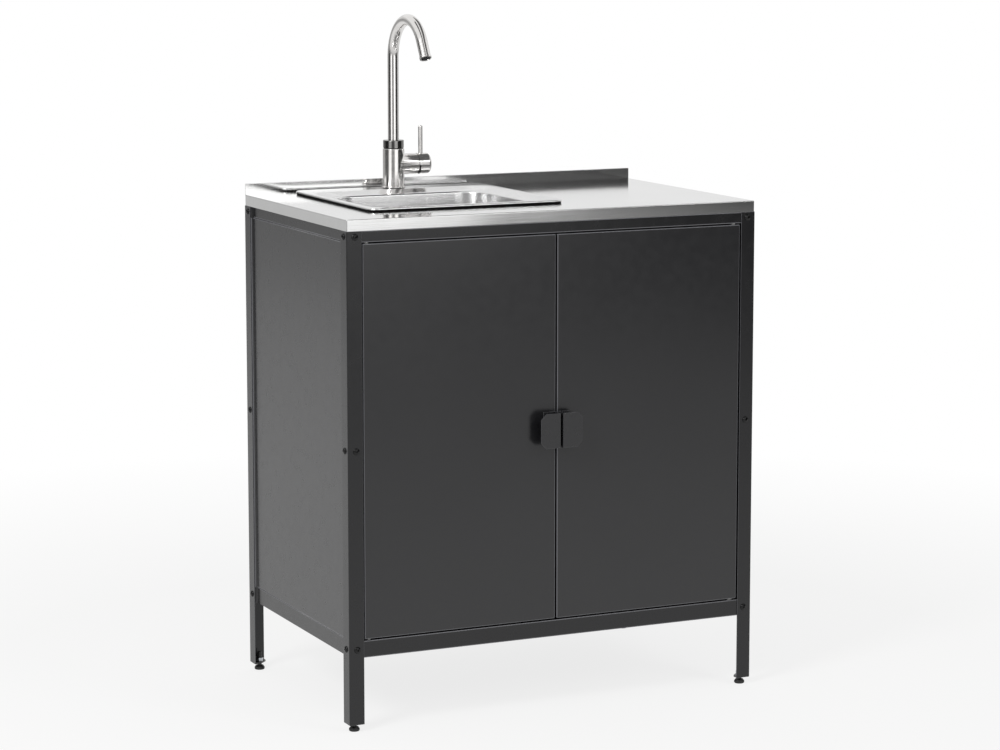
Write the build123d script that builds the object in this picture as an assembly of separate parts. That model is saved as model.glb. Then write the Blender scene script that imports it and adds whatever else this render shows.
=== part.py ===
from build123d import *

import math
import os

# Free-standing kitchen sink unit: a bolted sheet-steel cabinet with two doors, a folded
# stainless worktop, a drop-in sink with its trap, and a single-lever tap with a swan neck.
# Millimetres. X to the right, Y to the rear, Z up. The unit is drawn about its cabinet's
# middle, then moved back so that the origin lies on the floor under the whole unit's middle.

# Overall sizes
WIDTH = 800.0
DEPTH = 500.0
HEIGHT = 900.0
FOOT_HEIGHT = 13.0
HANDLE_ALLOWANCE = 10.0

# General clearances
RUNNING_GAP = 0.05
HOLE_GAP = 0.15
SEAT_GAP = 0.3

# Corner posts: angle sections that show outside every panel
POST_FLANGE = 28.0
POST_SHEET = 1.5
POST_CORNER_RADIUS = 2.0

# Thin sheet parts
RAIL_SHEET = 1.0
PANEL_SHEET = 0.8
DOOR_SHEET = 1.0
TOP_RAIL_HEIGHT = 20.0
RAIL_LEDGE = 20.0
CATCH_LEDGE = 36.0
SIDE_LEDGE = 15.0
TRAY_DEPTH = 30.0
TRAY_TOP = 162.0
SIDE_PANEL_RECESS = 5.0
SIDE_RAIL_RECESS = 6.0
JOGGLE_RUN = 4.0
BORDER_END_GAP = 2.5
PANEL_GAP = 0.5
PANEL_RETURN = 24.5
PANEL_HEM = 12.0
TRAY_LIP = 10.0

# Frame screws: M6 pan heads, three on each post flange
SCREW_RADIUS = 3.0
SCREW_LENGTH = 12.0
SCREW_HEAD_RADIUS = 6.0
SCREW_HEAD_HEIGHT = 3.2
HEAD_ROUNDING = 0.7
SCREW_RECESS = 1.6
SCREW_RECESS_LENGTH = 5.6
SCREW_RECESS_WIDTH = 1.1
SCREW_INSET = 15.5
MIDDLE_SCREW_HEIGHT = 498.0
NUT_ACROSS_FLATS = 10.0
NUT_HEIGHT = 5.0

# Levelling feet
FOOT_INSET = 14.0
FOOT_PLATE_SIZE = 25.0
FOOT_PLATE_CUT = 13.5
FOOT_PLATE_SHEET = 3.0
FOOT_STUD_RADIUS = 4.0
FOOT_STUD_TOP = 34.0
FOOT_PAD_RADIUS = 9.5
FOOT_PAD_HEIGHT = 7.5
FOOT_SOCKET_DEPTH = 4.5
FOOT_NUT_ACROSS_FLATS = 13.0
FOOT_NUT_HEIGHT = 6.5

# Doors: folded pans that turn on pins near their outer edges
DOOR_DEPTH = 18.0
DOOR_LIP = 14.0
DOOR_EDGE_RADIUS = 0.8
DOOR_SIDE_GAP = 2.0
DOOR_END_GAP = 2.5
DOOR_CENTRE_GAP = 3.2
PIVOT_INSET = 10.0
PIVOT_SETBACK = 9.5
PIVOT_RADIUS = 3.0
PIVOT_REACH = 9.0
PIVOT_HEAD_RADIUS = 5.0
PIVOT_HEAD_HEIGHT = 3.5
BUSH_WALL = 1.2
BUSH_FLANGE_RADIUS = 4.6
BUSH_FLANGE_GAP = 0.25
BUSH_SLEEVE_LENGTH = 4.0

# Handles: folded plates with two cut corners
HANDLE_WIDTH = 39.0
HANDLE_HEIGHT = 62.0
HANDLE_SHEET = 1.5
HANDLE_STAND_OFF = 24.0
HANDLE_FOOT_WIDTH = 24.0
HANDLE_CUT = 10.0
HANDLE_EDGE_INSET = 0.5
HANDLE_CENTRE_HEIGHT = 510.0
HANDLE_SCREW_SPACING = 40.0
HANDLE_SCREW_INSET = 14.0
SMALL_SCREW_RADIUS = 2.0
SMALL_HEAD_RADIUS = 3.8
SMALL_HEAD_HEIGHT = 2.4

# Magnetic catch behind the doors' top corners
CATCH_WIDTH = 64.0
CATCH_DEPTH = 14.0
CATCH_HEIGHT = 16.0
MAGNET_WIDTH = 18.0
MAGNET_HEIGHT = 11.0
MAGNET_DEPTH = 6.0
MAGNET_SPACING = 34.0

# Worktop: folded stainless tray with an upstand along the rear
TOP_SHEET = 1.0
TOP_INSET = 1.0
TOP_EDGE = 20.0
TOP_RETURN = 12.0
TOP_EDGE_RADIUS = 1.5
UPSTAND_HEIGHT = 20.0
UPSTAND_THICKNESS = 2.0
UPSTAND_EDGE_RADIUS = 0.8
STIFFENER_WIDTH = 40.0
STIFFENER_COUNT = 2
STIFFENER_END_GAP = 1.0
TOP_SCREW_SPACING = 500.0
TOP_SCREW_GRIP = 5.0

# Sink: pressed bowl with a flat rim, a sloping step and a shelf round the bowl
SINK_WIDTH = 380.0
SINK_LENGTH = 375.0
SINK_SHEET = 0.8
SINK_CENTRE_X = -122.0
SINK_REAR_MARGIN = 21.0
RIM_HEIGHT = 6.0
RIM_CORNER_RADIUS = 20.0
RIM_EDGE_RADIUS = 2.0
RIM_LIFT = 0.5
RIM_WIDTH = 14.0
TAP_LEDGE = 55.0
STEP_DROP = 10.0
STEP_RUN = 10.0
STEP_CORNER_RADIUS = 35.0
SHELF_WIDTH = 14.0
BOWL_DEPTH = 140.0
BOWL_CORNER_RADIUS = 50.0
BOWL_DRAFT = 4.0
BOWL_FLOOR_RADIUS = 22.0
BEND_RADIUS = 4.0
CUT_OUT_INSET = 10.0
SEAL_INSET = 1.5
SEAL_WIDTH = 6.5
CLIP_WIDTH = 14.0
CLIP_SHEET = 1.5
CLIP_DROP = 17.0
CLIP_TOE = 22.0
CLIP_SETBACK = 10.6
CLIP_PLACES = (-0.3, 0.3)

# Waste and bottle trap
WASTE_HOLE_RADIUS = 31.0
WASTE_CUP_RADIUS = 30.0
WASTE_CUP_DEPTH = 14.0
WASTE_SHEET = 1.2
WASTE_FLANGE_RADIUS = 39.0
WASTE_SLOT_RADIUS = 4.0
WASTE_SLOT_CIRCLE = 18.0
WASTE_SLOTS = 8
BASKET_RADIUS = 25.0
BASKET_HEIGHT = 12.0
BASKET_RIM_RADIUS = 28.0
BASKET_HOLE_RADIUS = 1.8
BASKET_HOLE_CIRCLES = (11.0, 19.0)
BASKET_HOLE_COUNTS = (8, 14)
BASKET_STEM_RADIUS = 1.5
BASKET_KNOB_RADIUS = 5.0
BASKET_KNOB_HEIGHT = 22.0
BASKET_KNOB_RIM = 3.0
BASKET_KNOB_SLOPE = 2.0
BASKET_KNOB_EDGE = 1.5
GASKET_THICKNESS = 2.5
WASTE_BODY_RADIUS = 42.0
WASTE_BODY_WALL = 2.5
WASTE_BODY_HEIGHT = 30.0
PIPE_RADIUS = 20.0
PIPE_WALL = 2.0
TAIL_LENGTH = 34.0
TRAP_RADIUS = 35.0
TRAP_WALL = 2.5
TRAP_TOP_GAP = 8.0
TRAP_HEIGHT = 72.0
TRAP_NECK_LENGTH = 20.0
TRAP_NUT_WALL = 4.0
TRAP_NUT_LENGTH = 16.0
TRAP_CUP_HEIGHT = 30.0
TRAP_CUP_OVERLAP = 18.0
OUTLET_DROP = 26.0
SOCKET_BORE_RADIUS = 20.3
SOCKET_WALL = 2.7
SOCKET_DEPTH = 34.0
SOCKET_STOP = 6.0

# Holes in the back panel
GROMMET_WALL = 3.0
GROMMET_LIP = 3.0
GROMMET_LIP_THICKNESS = 1.6
SUPPLY_HOLE_RADIUS = 20.0
SUPPLY_HOLE_OFFSET = 110.0

# Tap
TAP_FROM_RIM = 31.0
TAP_RADIUS = 20.3
TAP_BODY_TOP = 74.0
TAP_SEAL_THICKNESS = 1.0
TAP_SEAL_INSET = 0.8
TAP_EDGE_RADIUS = 1.0
TAP_FOOT_RADIUS = 22.3
TAP_FOOT_HEIGHT = 2.6
TAP_HOLE_RADIUS = 17.5
SHANK_RADIUS = 16.0
SHANK_LENGTH = 38.0
SHANK_INTO_BODY = 8.0
SHANK_BORE_RADIUS = 12.5
SHANK_BORE_DEPTH = 22.0
INLET_RADIUS = 4.5
INLET_DEPTH = 12.0
INLET_SPACING = 12.0
TAP_WASHER_THICKNESS = 3.0
TAP_WASHER_RADIUS = 19.5
TAP_NUT_ACROSS_FLATS = 36.0
TAP_NUT_HEIGHT = 10.0
CHANNEL_RADIUS = 7.0
NECK_RADIUS = 12.0
NECK_LENGTH = 12.0
SWIVEL_SEAL_THICKNESS = 1.5
SWIVEL_SEAL_INSET = 2.1
COLLAR_RADIUS = 19.5
COLLAR_HEIGHT = 14.5
COLLAR_TOP_WALL = 3.5
COLLAR_EDGE_RADIUS = 1.5
SPOUT_RADIUS = 10.4
SPOUT_WALL = 1.5
SPOUT_RISE = 244.0
SPOUT_BEND_RADIUS = 72.0
SPOUT_BEND_ANGLE = 151.0
SPOUT_END_LENGTH = 30.5
AERATOR_RADIUS = 11.4
AERATOR_LENGTH = 4.5
AERATOR_BORE_RADIUS = 8.0
AERATOR_BORE_DEPTH = 3.0

# Valve and lever on the tap's right-hand side
VALVE_HEIGHT = 44.0
VALVE_RADIUS = 19.5
VALVE_REACH = 45.0
CARTRIDGE_RADIUS = 17.0
CARTRIDGE_START = 14.0
CARTRIDGE_INSET = 2.0
STEM_RADIUS = 5.0
STEM_START = 30.0
STEM_LENGTH = 28.0
LEVER_PIVOT = 52.0
LEVER_PIN_RADIUS = 2.0
LEVER_PIN_LENGTH = 33.0
CAP_GAP_TOP = 1.0
CAP_GAP_MIDDLE = 3.2
CAP_GAP_BOTTOM = 5.5
CAP_NOTCH_TOP = -1.0
CAP_NOTCH_SHOULDER = -4.0
CAP_END = 71.0
CAP_CAVITY_RADIUS = 14.0
CAP_CAVITY_END = 61.0
CAP_DOME_RADIUS = 5.0
LEVER_PLACE = 55.0
LEVER_RADIUS = 4.25
LEVER_LENGTH = 52.0
LEVER_ROOT = 15.0

# Places worked out from the sizes above
HALF_WIDTH = WIDTH / 2
HALF_DEPTH = DEPTH / 2
FRAME_TOP = HEIGHT - TOP_EDGE
RAIL_BOTTOM = FRAME_TOP - TOP_RAIL_HEIGHT
TRAY_BOTTOM = TRAY_TOP - TRAY_DEPTH
INNER_X = HALF_WIDTH - POST_SHEET
INNER_Y = HALF_DEPTH - POST_SHEET
SCREW_HEIGHTS = (
    (RAIL_BOTTOM + FRAME_TOP) / 2,
    MIDDLE_SCREW_HEIGHT,
    (TRAY_BOTTOM + TRAY_TOP) / 2,
)
DOOR_FACE = -INNER_Y
DOOR_BACK = DOOR_FACE + DOOR_DEPTH
DOOR_OUTER = HALF_WIDTH - POST_FLANGE - DOOR_SIDE_GAP
DOOR_INNER = DOOR_CENTRE_GAP / 2
DOOR_BOTTOM = TRAY_TOP + DOOR_END_GAP
DOOR_TOP = RAIL_BOTTOM - DOOR_END_GAP
PIVOT_X = DOOR_OUTER - PIVOT_INSET
PIVOT_Y = DOOR_FACE + PIVOT_SETBACK
SINK_LEFT = SINK_CENTRE_X - SINK_WIDTH / 2
SINK_RIGHT = SINK_CENTRE_X + SINK_WIDTH / 2
SINK_REAR = HALF_DEPTH - SINK_REAR_MARGIN
SINK_FRONT = SINK_REAR - SINK_LENGTH
RIM_TOP = HEIGHT + RIM_HEIGHT
SHELF_LEVEL = RIM_TOP - STEP_DROP
FLOOR_LEVEL = SHELF_LEVEL - BOWL_DEPTH
BOWL_INSET = RIM_WIDTH + STEP_RUN + SHELF_WIDTH
BOWL_REAR = SINK_REAR - TAP_LEDGE - STEP_RUN - SHELF_WIDTH
WASTE_X = SINK_CENTRE_X
WASTE_Y = (SINK_FRONT + BOWL_INSET + BOWL_REAR) / 2
WASTE_BODY_TOP = FLOOR_LEVEL - SINK_SHEET - GASKET_THICKNESS
TAIL_TOP = WASTE_BODY_TOP - WASTE_BODY_HEIGHT
TAIL_BOTTOM = TAIL_TOP - TAIL_LENGTH
TRAP_NECK_TOP = TAIL_TOP - TRAP_TOP_GAP
TRAP_TOP = TRAP_NECK_TOP - TRAP_NECK_LENGTH
TRAP_BOTTOM = TRAP_TOP - TRAP_HEIGHT
OUTLET_Z = TRAP_TOP - OUTLET_DROP
TRAP_BOSS_END = TRAP_RADIUS + TRAP_NECK_LENGTH
TAP_X = SINK_CENTRE_X
TAP_Y = SINK_REAR - TAP_FROM_RIM
TAP_BASE = RIM_TOP + TAP_SEAL_THICKNESS
VALVE_Z = RIM_TOP + VALVE_HEIGHT
BODY_TOP = RIM_TOP + TAP_BODY_TOP
COLLAR_BOTTOM = BODY_TOP + SWIVEL_SEAL_THICKNESS
COLLAR_TOP = COLLAR_BOTTOM + COLLAR_HEIGHT
SIDES = (-1, 1)


def block(x_range, y_range, z_range):
    """A box between two corners, given as three pairs of limits."""
    size = [high - low for low, high in (x_range, y_range, z_range)]
    middle = [(low + high) / 2 for low, high in (x_range, y_range, z_range)]
    return Pos(*middle) * Box(*size)


def rod(radius, start, end):
    """A round bar between two points."""
    start, end = Vector(*start), Vector(*end)
    plane = Plane(origin=start, z_dir=end - start)
    return extrude(plane * Circle(radius), amount=(end - start).length)


def ring(outer, inner, bottom, top, x=0.0, y=0.0):
    """An upright tube between two heights."""
    tube = rod(outer, (x, y, bottom), (x, y, top))
    return tube - rod(inner, (x, y, bottom), (x, y, top))


def hexagon_nut(across_flats, bore, height):
    """A nut that stands on the XY plane, with two flats square to Y."""
    outline = RegularPolygon(across_flats / math.sqrt(3), 6)
    return extrude(outline - Circle(bore), amount=height)


def mirrored(shape):
    """The same shape on the other side of the cabinet."""
    return mirror(shape, about=Plane.YZ)


def group(shapes):
    """Several separate solids as one node."""
    return Compound(children=[solid for shape in shapes for solid in shape.solids()])


def rounded_outline(left, right, front, rear, radius):
    """A rectangle with round corners, as a face on the XY plane."""
    face = RectangleRounded(right - left, rear - front, radius)
    return Pos((left + right) / 2, (front + rear) / 2) * face


def folded_wall(corners, sheet, bottom, top):
    """Sheet that follows a line of plan corners; its thickness lies on the line's right."""
    points = [Vector(x, y) for x, y in corners]
    runs = [(b - a).normalized() for a, b in zip(points, points[1:])]
    sideways = [Vector(run.Y, -run.X) for run in runs]
    inner = [points[0] + sideways[0] * sheet]
    for corner, before, after in zip(points[1:], sideways, sideways[1:]):
        bisector = before + after
        inner.append(corner + bisector * (2 * sheet / bisector.dot(bisector)))
    inner.append(points[-1] + sideways[-1] * sheet)
    outline = make_face(Polyline(*points, *reversed(inner), close=True))
    return extrude(Pos(0, 0, bottom) * outline, amount=top - bottom)


def post_hole_axes():
    """Each frame screw's place on the outside of its post, and its way in."""
    places = []
    for side in SIDES:
        for end in SIDES:
            for height in SCREW_HEIGHTS:
                flange_x = side * (HALF_WIDTH - SCREW_INSET)
                flange_y = end * (HALF_DEPTH - SCREW_INSET)
                places.append(((flange_x, end * HALF_DEPTH, height), (0, -end, 0)))
                places.append(((side * HALF_WIDTH, flange_y, height), (-side, 0, 0)))
    return places


def inward(place, way, distance):
    """A point that lies some distance in from a place."""
    return tuple(p + w * distance for p, w in zip(place, way))


def frame_drills():
    """Clearance holes for all frame screws."""
    radius = SCREW_RADIUS + HOLE_GAP
    drills = []
    for place, way in post_hole_axes():
        drills.append(rod(radius, inward(place, way, -1), inward(place, way, SCREW_LENGTH)))
    return drills


def drilled(shape, drills):
    """The shape without the drills that reach it."""
    box = shape.bounding_box()
    near = [drill for drill in drills if box.overlaps(drill.bounding_box())]
    return shape - near if near else shape


def make_post():
    """The front left post: an angle with its two flanges outside the panels."""
    corners = (
        (-HALF_WIDTH, -HALF_DEPTH + POST_FLANGE),
        (-HALF_WIDTH, -HALF_DEPTH),
        (-HALF_WIDTH + POST_FLANGE, -HALF_DEPTH),
    )
    post = folded_wall(tuple(reversed(corners)), POST_SHEET, FOOT_HEIGHT, FRAME_TOP)
    outer_edge = post.edges().filter_by(Axis.Z).sort_by_distance((-HALF_WIDTH, -HALF_DEPTH, 0))[0]
    return fillet(outer_edge, POST_CORNER_RADIUS)


def make_posts(drills):
    front_left = make_post()
    rear_left = mirror(front_left, about=Plane.XZ)
    return {
        "front_left_post": drilled(front_left, drills),
        "front_right_post": drilled(mirrored(front_left), drills),
        "rear_left_post": drilled(rear_left, drills),
        "rear_right_post": drilled(mirrored(rear_left), drills),
    }


def corner_places(x, y):
    """The four points that mirror one point over both middle planes."""
    return [(side * x, end * y) for side in SIDES for end in SIDES]


def make_foot_plates():
    """Corner gussets at the legs' lower ends, each with a hole for its foot."""
    near_x, near_y = -INNER_X, -INNER_Y
    far_x, far_y = near_x + FOOT_PLATE_SIZE, near_y + FOOT_PLATE_SIZE
    outline = make_face(
        Polyline(
            (near_x, near_y),
            (far_x, near_y),
            (far_x, far_y - FOOT_PLATE_CUT),
            (far_x - FOOT_PLATE_CUT, far_y),
            (near_x, far_y),
            close=True,
        )
    )
    hole = Pos(-HALF_WIDTH + FOOT_INSET, -HALF_DEPTH + FOOT_INSET) * Circle(FOOT_STUD_RADIUS + HOLE_GAP)
    plate = extrude(Pos(0, 0, FOOT_HEIGHT) * (outline - hole), amount=FOOT_PLATE_SHEET)
    rear = mirror(plate, about=Plane.XZ)
    return group([plate, mirrored(plate), rear, mirrored(rear)])


def make_foot_nuts():
    nut = hexagon_nut(FOOT_NUT_ACROSS_FLATS, FOOT_STUD_RADIUS + RUNNING_GAP, FOOT_NUT_HEIGHT)
    level = FOOT_HEIGHT + FOOT_PLATE_SHEET
    places = corner_places(HALF_WIDTH - FOOT_INSET, HALF_DEPTH - FOOT_INSET)
    return group([Pos(x, y, level) * nut for x, y in places])


def make_foot(x, y):
    """One levelling foot: a moulded pad and the threaded stud that it is moulded on."""
    waist = FOOT_STUD_RADIUS + 2.0
    profile = Polyline(
        (0, 0),
        (FOOT_PAD_RADIUS - 1.0, 0),
        (FOOT_PAD_RADIUS, 1.2),
        (FOOT_PAD_RADIUS, FOOT_PAD_HEIGHT * 0.55),
        (waist + 1.0, FOOT_PAD_HEIGHT),
        (0, FOOT_PAD_HEIGHT),
        close=True,
    )
    pad = revolve(Plane.XZ * make_face(profile), axis=Axis.Z)
    socket_floor = FOOT_PAD_HEIGHT - FOOT_SOCKET_DEPTH
    pad -= rod(FOOT_STUD_RADIUS, (0, 0, socket_floor), (0, 0, FOOT_PAD_HEIGHT))
    stud = rod(FOOT_STUD_RADIUS, (0, 0, socket_floor), (0, 0, FOOT_STUD_TOP))
    stud = chamfer(stud.edges().sort_by(Axis.Z)[-1], 0.8)
    return group([Pos(x, y) * pad, Pos(x, y) * stud])


def make_base_tray(drills):
    """The cabinet floor, with all its edges turned down."""
    face_x = HALF_WIDTH - SIDE_RAIL_RECESS
    floor = block(
        (-face_x, face_x), (-INNER_Y, INNER_Y), (TRAY_TOP - RAIL_SHEET, TRAY_TOP)
    )
    end_x = INNER_X - RAIL_SHEET - HOLE_GAP
    tray = floor
    for end in SIDES:
        wall_y = sorted((end * INNER_Y, end * (INNER_Y - RAIL_SHEET)))
        lip_y = sorted((end * INNER_Y, end * (INNER_Y - TRAY_LIP)))
        tray += block((-end_x, end_x), wall_y, (TRAY_BOTTOM, TRAY_TOP))
        tray += block((-face_x + TRAY_LIP, face_x - TRAY_LIP), lip_y, (TRAY_BOTTOM, TRAY_BOTTOM + RAIL_SHEET))
    side = side_wall(SIDE_RAIL_RECESS, RAIL_SHEET, TRAY_BOTTOM, TRAY_TOP)
    tray += [side, mirrored(side)]
    tray -= pivot_drills()
    return drilled(tray, drills)


def side_wall(recess, sheet, bottom, top):
    """Left-hand sheet that steps in from the posts' flanges to its recessed face."""
    border_end = INNER_Y - BORDER_END_GAP
    step_start = HALF_DEPTH - POST_FLANGE - 1.0
    step_end = step_start - JOGGLE_RUN
    face_x = -HALF_WIDTH + recess
    corners = (
        (-INNER_X, -border_end),
        (-INNER_X, -step_start),
        (face_x, -step_end),
        (face_x, step_end),
        (-INNER_X, step_start),
        (-INNER_X, border_end),
    )
    return folded_wall(corners, sheet, bottom, top)


def pivot_drills():
    """Holes for the bushes in the tray's floor and in the front rail's ledge."""
    radius = PIVOT_RADIUS + RUNNING_GAP + BUSH_WALL + HOLE_GAP
    drills = []
    for side in SIDES:
        x = side * PIVOT_X
        drills.append(rod(radius, (x, PIVOT_Y, TRAY_TOP - 3), (x, PIVOT_Y, TRAY_TOP + 1)))
        drills.append(rod(radius, (x, PIVOT_Y, RAIL_BOTTOM - 1), (x, PIVOT_Y, RAIL_BOTTOM + 3)))
    return drills


def top_screw_places():
    middle = HALF_DEPTH - TOP_INSET - TOP_RETURN / 2
    return corner_places(TOP_SCREW_SPACING / 2, middle)


def top_screw_drills():
    radius = SMALL_SCREW_RADIUS + HOLE_GAP
    return [
        rod(radius, (x, y, FRAME_TOP - 3), (x, y, FRAME_TOP + 3))
        for x, y in top_screw_places()
    ]


def make_cross_rail(lower_ledge):
    """The front top rail: a channel that lies behind the posts' front flanges."""
    end_x = INNER_X - RAIL_SHEET - HOLE_GAP
    span = (-end_x, end_x)
    rail = block(span, (-INNER_Y, -INNER_Y + RAIL_SHEET), (RAIL_BOTTOM, FRAME_TOP))
    rail += block(span, (-INNER_Y, -INNER_Y + RAIL_LEDGE), (FRAME_TOP - RAIL_SHEET, FRAME_TOP))
    inner_end = HALF_WIDTH - SIDE_RAIL_RECESS - SIDE_LEDGE - PANEL_GAP
    rail += block(
        (-inner_end, inner_end),
        (-INNER_Y, -INNER_Y + lower_ledge),
        (RAIL_BOTTOM, RAIL_BOTTOM + RAIL_SHEET),
    )
    return rail - top_screw_drills()


def make_side_rail():
    """The left top rail, with inward ledges along its recessed middle."""
    rail = side_wall(SIDE_RAIL_RECESS, RAIL_SHEET, RAIL_BOTTOM, FRAME_TOP)
    face_x = -HALF_WIDTH + SIDE_RAIL_RECESS
    half_length = HALF_DEPTH - POST_FLANGE - JOGGLE_RUN - 2.0
    for bottom in (RAIL_BOTTOM, FRAME_TOP - RAIL_SHEET):
        rail += block(
            (face_x, face_x + SIDE_LEDGE),
            (-half_length, half_length),
            (bottom, bottom + RAIL_SHEET),
        )
    return rail


def make_rails(drills):
    front = make_cross_rail(CATCH_LEDGE) - pivot_drills()
    rear = mirror(make_cross_rail(RAIL_LEDGE), about=Plane.XZ)
    left = make_side_rail()
    return {
        "front_top_rail": drilled(front, drills),
        "rear_top_rail": drilled(rear, drills),
        "left_top_rail": drilled(left, drills),
        "right_top_rail": drilled(mirrored(left), drills),
    }


def make_side_panel():
    """The left panel: a recessed sheet whose borders wrap round behind both posts."""
    step_start = HALF_DEPTH - POST_FLANGE - 1.0
    step_end = step_start - JOGGLE_RUN
    face_x = -HALF_WIDTH + SIDE_PANEL_RECESS
    return_x = -INNER_X + PANEL_RETURN
    half = (
        (return_x, -INNER_Y),
        (-INNER_X, -INNER_Y),
        (-INNER_X, -step_start),
        (face_x, -step_end),
    )
    corners = half + tuple((x, -y) for x, y in reversed(half))
    bottom = TRAY_TOP + PANEL_GAP
    top = RAIL_BOTTOM - PANEL_GAP
    panel = folded_wall(corners, PANEL_SHEET, bottom, top)
    for level in (bottom, top - PANEL_SHEET):
        panel += block(
            (face_x, face_x + PANEL_HEM),
            (-step_end, step_end),
            (level, level + PANEL_SHEET),
        )
    return panel


def make_back_panel(drills):
    """The rear sheet, with one hole for the waste pipe and one for the supply pipes."""
    end_x = INNER_X - PANEL_SHEET - HOLE_GAP
    outer_y = INNER_Y - PANEL_SHEET
    panel = block(
        (-end_x, end_x),
        (outer_y - PANEL_SHEET, outer_y),
        (TRAY_TOP + PANEL_GAP, RAIL_BOTTOM - PANEL_GAP),
    )
    for x, radius in pipe_holes():
        seat = radius + GROMMET_WALL
        inside = outer_y - 2 * PANEL_SHEET
        panel -= rod(seat, (x, inside, OUTLET_Z), (x, INNER_Y, OUTLET_Z))
    return drilled(panel, drills)


def pipe_holes():
    """Centre and clear radius of each grommet in the back panel."""
    waste_clearance = SOCKET_BORE_RADIUS + SOCKET_WALL + SEAT_GAP
    return (
        (WASTE_X, waste_clearance),
        (WASTE_X + SUPPLY_HOLE_OFFSET, SUPPLY_HOLE_RADIUS),
    )


def make_grommets():
    """Rubber rings that line the two holes and grip the sheet from both sides."""
    rings = []
    middle = INNER_Y - 1.5 * PANEL_SHEET
    for x, radius in pipe_holes():
        seat = radius + GROMMET_WALL
        reach = PANEL_SHEET / 2 + GROMMET_LIP_THICKNESS
        profile = Polyline(
            (radius, -reach),
            (seat + GROMMET_LIP, -reach),
            (seat + GROMMET_LIP, -PANEL_SHEET / 2),
            (seat, -PANEL_SHEET / 2),
            (seat, PANEL_SHEET / 2),
            (seat + GROMMET_LIP, PANEL_SHEET / 2),
            (seat + GROMMET_LIP, reach),
            (radius, reach),
            close=True,
        )
        shape = revolve(make_face(profile), axis=Axis.Y)
        rings.append(Pos(x, middle, OUTLET_Z) * shape)
    return group(rings)


def pan_screw(radius, length, head_radius, head_height, recess=True):
    """A pan-head screw along Z: the head's seat is at zero and the shank points down."""
    head = rod(head_radius, (0, 0, 0), (0, 0, head_height))
    head = fillet(head.edges().sort_by(Axis.Z)[-1], head_height * HEAD_ROUNDING)
    if recess:
        for long_x in (True, False):
            size = (SCREW_RECESS_LENGTH, SCREW_RECESS_WIDTH)
            width, depth = size if long_x else size[::-1]
            head -= Pos(0, 0, head_height) * Box(width, depth, 2 * SCREW_RECESS)
    return head + rod(radius, (0, 0, -length), (0, 0, 0))


def along(shape, place, way):
    """Moves a shape from the origin to a place, with its -Z pointing the given way."""
    plane = Plane(origin=place, z_dir=tuple(-w for w in way))
    return plane.location * shape


def make_frame_screws():
    screw = pan_screw(SCREW_RADIUS, SCREW_LENGTH, SCREW_HEAD_RADIUS, SCREW_HEAD_HEIGHT)
    return group([along(screw, place, way) for place, way in post_hole_axes()])


def make_frame_nuts():
    """Nuts on the inside; the sheet that each one clamps sets its place."""
    nut = hexagon_nut(NUT_ACROSS_FLATS, SCREW_RADIUS + HOLE_GAP, NUT_HEIGHT)
    nuts = []
    for place, way in post_hole_axes():
        middle = place[2] == MIDDLE_SCREW_HEIGHT
        sheet = PANEL_SHEET if middle else RAIL_SHEET
        if middle and way[1] < 0:
            sheet += PANEL_SHEET
        seat = inward(place, way, POST_SHEET + sheet + NUT_HEIGHT)
        nuts.append(along(nut, seat, way))
    return group(nuts)


def make_worktop():
    """Folded top with skirts, inward returns, a rear upstand and the sink's cut-out."""
    x, y = HALF_WIDTH - TOP_INSET, HALF_DEPTH - TOP_INSET
    top = block((-x, x), (-y, y), (FRAME_TOP, HEIGHT))
    outer = top.edges().filter_by(Axis.Z) + top.faces().sort_by(Axis.Z)[-1].edges()
    top = fillet(outer, TOP_EDGE_RADIUS)
    inner_x, inner_y = x - TOP_SHEET, y - TOP_SHEET
    top -= block(
        (-inner_x, inner_x),
        (-inner_y, inner_y),
        (FRAME_TOP + TOP_SHEET, HEIGHT - TOP_SHEET),
    )
    mouth_x, mouth_y = x - TOP_SHEET - TOP_RETURN, y - TOP_SHEET - TOP_RETURN
    top -= block((-mouth_x, mouth_x), (-mouth_y, mouth_y), (FRAME_TOP, FRAME_TOP + TOP_SHEET))
    upstand = block(
        (-x, x),
        (y - UPSTAND_THICKNESS, y),
        (HEIGHT - TOP_EDGE_RADIUS, HEIGHT + UPSTAND_HEIGHT),
    )
    upstand = fillet(upstand.edges().filter_by(Axis.X).group_by(Axis.Z)[-1], UPSTAND_EDGE_RADIUS)
    top += upstand
    cut_out = rounded_outline(
        SINK_LEFT + CUT_OUT_INSET,
        SINK_RIGHT - CUT_OUT_INSET,
        SINK_FRONT + CUT_OUT_INSET,
        SINK_REAR - CUT_OUT_INSET,
        RIM_CORNER_RADIUS,
    )
    top -= extrude(Pos(0, 0, HEIGHT - 2 * TOP_SHEET) * cut_out, amount=3 * TOP_SHEET)
    return top - top_screw_drills()


def make_stiffeners():
    """Channels under the free part of the worktop, standing on the front and rear rails."""
    channels = []
    half_length = HALF_DEPTH - TOP_INSET - TOP_SHEET - TOP_RETURN - STIFFENER_END_GAP
    span = (-half_length, half_length)
    spacing = (HALF_WIDTH - SINK_RIGHT) / (STIFFENER_COUNT + 1)
    for index in range(STIFFENER_COUNT):
        middle = SINK_RIGHT + (index + 1) * spacing
        left, right = middle - STIFFENER_WIDTH / 2, middle + STIFFENER_WIDTH / 2
        outer = block((left, right), span, (FRAME_TOP, HEIGHT - TOP_SHEET))
        inner = block(
            (left + RAIL_SHEET, right - RAIL_SHEET),
            span,
            (FRAME_TOP, HEIGHT - TOP_SHEET - RAIL_SHEET),
        )
        channels.append(outer - inner)
    return group(channels)


def make_top_screws():
    screw = pan_screw(SMALL_SCREW_RADIUS, TOP_SCREW_GRIP, SMALL_HEAD_RADIUS, SMALL_HEAD_HEIGHT, False)
    level = FRAME_TOP - RAIL_SHEET
    return group([along(screw, (x, y, level), (0, 0, 1)) for x, y in top_screw_places()])


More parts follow.
